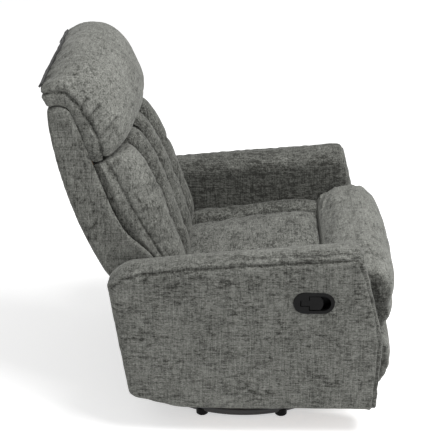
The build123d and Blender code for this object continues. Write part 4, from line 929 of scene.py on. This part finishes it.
rollShape = {
    "voxel": 0.010,
    "held": {"behind": -0.266, "below": 0.252},
    "plump": {"cap": 0.010, "pressure": 5.0, "slack": 0.03},
    "axis": {"y": -0.300, "z": 0.335, "radius": 0.085},
    "end": 0.256,
    "shows": (0.0, 0.5),
    "frontOnly": (0.0, 0.2),
    "ruffle": {"height": 0.0016, "reach": 0.040, "pitch": 0.028, "seed": 0.7},
    "brow": 0.018,
    "chin": 0.014,
    "swell": 0.004,
    "waves": ((0.0030, 7.5, 15.0), (0.0010, 24.0, 3.5)),
    "reach": {"far": 0.014, "beyond": (0.18, 0.256), "above": (0.315, 0.340)},
    "forward": {"far": 0.007, "facing": (0.0, 0.5), "above": (0.31, 0.33)},
    "hang": {"far": 0.026, "ahead": (0.33, 0.37), "below": (0.235, 0.34)},
    # painted shade on the roll's ends, by which way they face
    "endShade": 0.8,
    "endFacing": (0.25, 0.8),
}
roll = copyOf("seat_front_roll", "frontRoll")
remesh(roll, rollShape["voxel"])
x, y, z = points(roll).T
plump(roll, (y > rollShape["held"]["behind"]) | (z < rollShape["held"]["below"]), **rollShape["plump"])
refine(roll)
spots, out = points(roll), normals(roll)
x, y, z = spots.T
axis, ruffle = rollShape["axis"], rollShape["ruffle"]
around = np.arctan2(z - axis["z"], axis["y"] - y) * axis["radius"]
nearEnd = dip(rollShape["end"] - np.abs(x), ruffle["reach"])
shows = fade(-out[:, 1] + out[:, 2], *rollShape["shows"])
ahead = fade(-out[:, 1], *rollShape["frontOnly"])
brow = (-2 * out[:, 1] * out[:, 2]).clip(0, 1) * ahead
chin = (2 * out[:, 1] * out[:, 2]).clip(0, 1) * ahead
move = ruffle["height"] * nearEnd * gathers(around, ruffle["pitch"], ruffle["seed"]) * shows
move += rollShape["brow"] * brow + rollShape["chin"] * chin + rollShape["swell"] * shows
move += uneven(spots, rollShape["waves"])
spots = spots + out * move[:, None]
reach, forward, hang = rollShape["reach"], rollShape["forward"], rollShape["hang"]
spots[:, 0] += np.sign(x) * reach["far"] * fade(np.abs(x), *reach["beyond"]) * fade(z, *reach["above"])
spots[:, 1] -= forward["far"] * fade(out[:, 1], *forward["facing"]) * fade(z, *forward["above"])
spots[:, 2] -= hang["far"] * fade(-y, *hang["ahead"]) * (1 - fade(z, *hang["below"]))
setPoints(roll, spots)
# painted shade on the roll's ends
markPaintedShade(roll, rollShape["endShade"] * fade(np.abs(out[:, 0]), *rollShape["endFacing"]))
wear(roll, rollCloth, "chassis", "seat_front_roll", fill=0.75)


padShape = {
    "voxel": 0.008,
    "heldBehind": -0.392,
    "plump": {"cap": 0.006, "pressure": 4.0, "slack": 0.02},
    "end": 0.255,
    "ruffle": {"height": 0.0014, "reach": 0.035, "pitch": 0.026, "seed": 0.2, "facing": (0.1, 0.6)},
    "swell": {"height": 0.010, "facing": (0.2, 0.9)},
    "waves": ((0.0020, 8.0, 21.0), (0.0008, 26.0, 4.5)),
}
pad = copyOf("footrest_pad", "footrestPad")
remesh(pad, padShape["voxel"])
plump(pad, points(pad)[:, 1] > padShape["heldBehind"], **padShape["plump"])
refine(pad)
spots, out = points(pad), normals(pad)
x, y, z = spots.T
ruffle, swell = padShape["ruffle"], padShape["swell"]
nearEnd = dip(padShape["end"] - np.abs(x), ruffle["reach"])
folds = gathers(z, ruffle["pitch"], ruffle["seed"]) * fade(-out[:, 1], *ruffle["facing"])
move = ruffle["height"] * nearEnd * folds
move += swell["height"] * fade(-out[:, 1], *swell["facing"])
move += uneven(spots, padShape["waves"])
setPoints(pad, spots + out * move[:, None])
wear(pad, armCloth, "footrest", "footrest_pad", fill=0.7)


rearShape = {
    "voxel": 0.006,
    "rounds": 4,
    "waves": ((0.0012, 10.0, 25.0), (0.0005, 32.0, 26.0)),
    "rise": {"far": 0.006, "above": (0.26, 0.29)},
}
rear = copyOf("rear_panel", "rearPanel")
remesh(rear, rearShape["voxel"])
finishModifier(rear, "SMOOTH", factor=0.5, iterations=rearShape["rounds"])
spots, out = points(rear), normals(rear)
spots = spots + out * uneven(spots, rearShape["waves"])[:, None]
spots[:, 2] += rearShape["rise"]["far"] * fade(spots[:, 2], *rearShape["rise"]["above"])
setPoints(rear, spots)
wear(rear, backCloth, "chassis", "rear_panel", fill=0.4)


zipShape = {
    "tilt": 66.0,
    "facing": math.radians(36),
    "length": 0.466,
    "tape": 0.012,
    "thick": 0.005,
    "cuts": 60,
    "tooth": (0.0022, 0.0016, 0.0046),
    "toothBevel": 0.0004,
    "toothOut": 0.0022,
    "stagger": 0.0005,
    "pitch": 0.004,
    "proud": 0.0030,
    "stations": (-0.24, 0.24, 49),
    "stationReach": 0.006,
    "even": 5,
}
bpy.ops.object.select_all(action="DESELECT")
bpy.ops.mesh.primitive_cube_add(size=1.0, scale=(zipShape["length"], zipShape["thick"], zipShape["tape"]))
tape = bpy.context.object
tape.name = "zipTape"
bpy.ops.object.transform_apply(location=False, rotation=False, scale=True)
bpy.ops.object.mode_set(mode="EDIT")
bpy.ops.mesh.subdivide(number_cuts=zipShape["cuts"])
bpy.ops.object.mode_set(mode="OBJECT")
bpy.ops.object.select_all(action="DESELECT")
bpy.ops.mesh.primitive_cube_add(size=1.0, scale=zipShape["tooth"])
tooth = bpy.context.object
bpy.ops.object.transform_apply(location=False, rotation=False, scale=True)
bpy.ops.object.mode_set(mode="EDIT")
bpy.ops.mesh.bevel(offset=zipShape["toothBevel"], segments=1, affect="EDGES")
bpy.ops.object.mode_set(mode="OBJECT")
count = int(zipShape["length"] / zipShape["pitch"])
teeth = [tooth]
for step in range(1, count):
    copied = bpy.data.objects.new("tooth", tooth.data.copy())
    scene.collection.objects.link(copied)
    teeth.append(copied)
for step, piece in enumerate(teeth):
    across = (step - (count - 1) / 2) * zipShape["pitch"]
    piece.location = (across, zipShape["toothOut"], zipShape["stagger"] * (-1) ** step)
    piece.select_set(True)
tape.select_set(True)
bpy.context.view_layer.objects.active = tape
bpy.ops.object.join()
tape.rotation_euler = (math.radians(zipShape["tilt"]) - lean["angle"], 0, 0)
bpy.ops.object.transform_apply(location=False, rotation=True, scale=True)

# the zip follows the pillow's rear edge, evened out over a few stations
outward = np.array((0.0, math.cos(zipShape["facing"]), math.sin(zipShape["facing"])))
rim = points(pillow)
height = rim @ outward
stations = np.linspace(*zipShape["stations"])
edges = []
for station in stations:
    near = np.nonzero(np.abs(rim[:, 0] - station) < zipShape["stationReach"])[0]
    edges.append(rim[near[np.argmax(height[near])]])
half = zipShape["even"] // 2
padded = np.pad(np.array(edges), ((half, half), (0, 0)), mode="edge")
edges = np.mean([padded[n : n + len(stations)] for n in range(zipShape["even"])], axis=0)
spots = points(tape)
for axis in (1, 2):
    spots[:, axis] += np.interp(spots[:, 0], stations, edges[:, axis]) + zipShape["proud"] * outward[axis]
setPoints(tape, spots)
tape.data.materials.clear()
tape.data.materials.append(zipBlack)
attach(tape, "backrest")
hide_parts("back_zip")
print("zip done:", count, "teeth")


feltShape = {"cuts": (60, 40), "lift": 0.001, "waves": ((0.0006, 30.0, 7.0),), "thick": 0.003}
low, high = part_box("seat_felt")
bpy.ops.object.select_all(action="DESELECT")
bpy.ops.mesh.primitive_grid_add(x_subdivisions=feltShape["cuts"][0], y_subdivisions=feltShape["cuts"][1], size=1.0)
felt = bpy.context.object
felt.name = "springFelt"
spots = points(felt)
spots[:, 0] *= high[0] - low[0]
spots[:, 1] = spots[:, 1] * (high[1] - low[1]) + (high[1] + low[1]) / 2
spots[:, 2] = low[2] + feltShape["lift"] + uneven(spots, feltShape["waves"])
setPoints(felt, spots)
finishModifier(felt, "SOLIDIFY", thickness=feltShape["thick"], offset=1.0)
pick(felt)
bpy.ops.object.shade_smooth()
felt.data.materials.append(lining)
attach(felt, "chassis")
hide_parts("seat_felt")
print("felt done")

low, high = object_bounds()
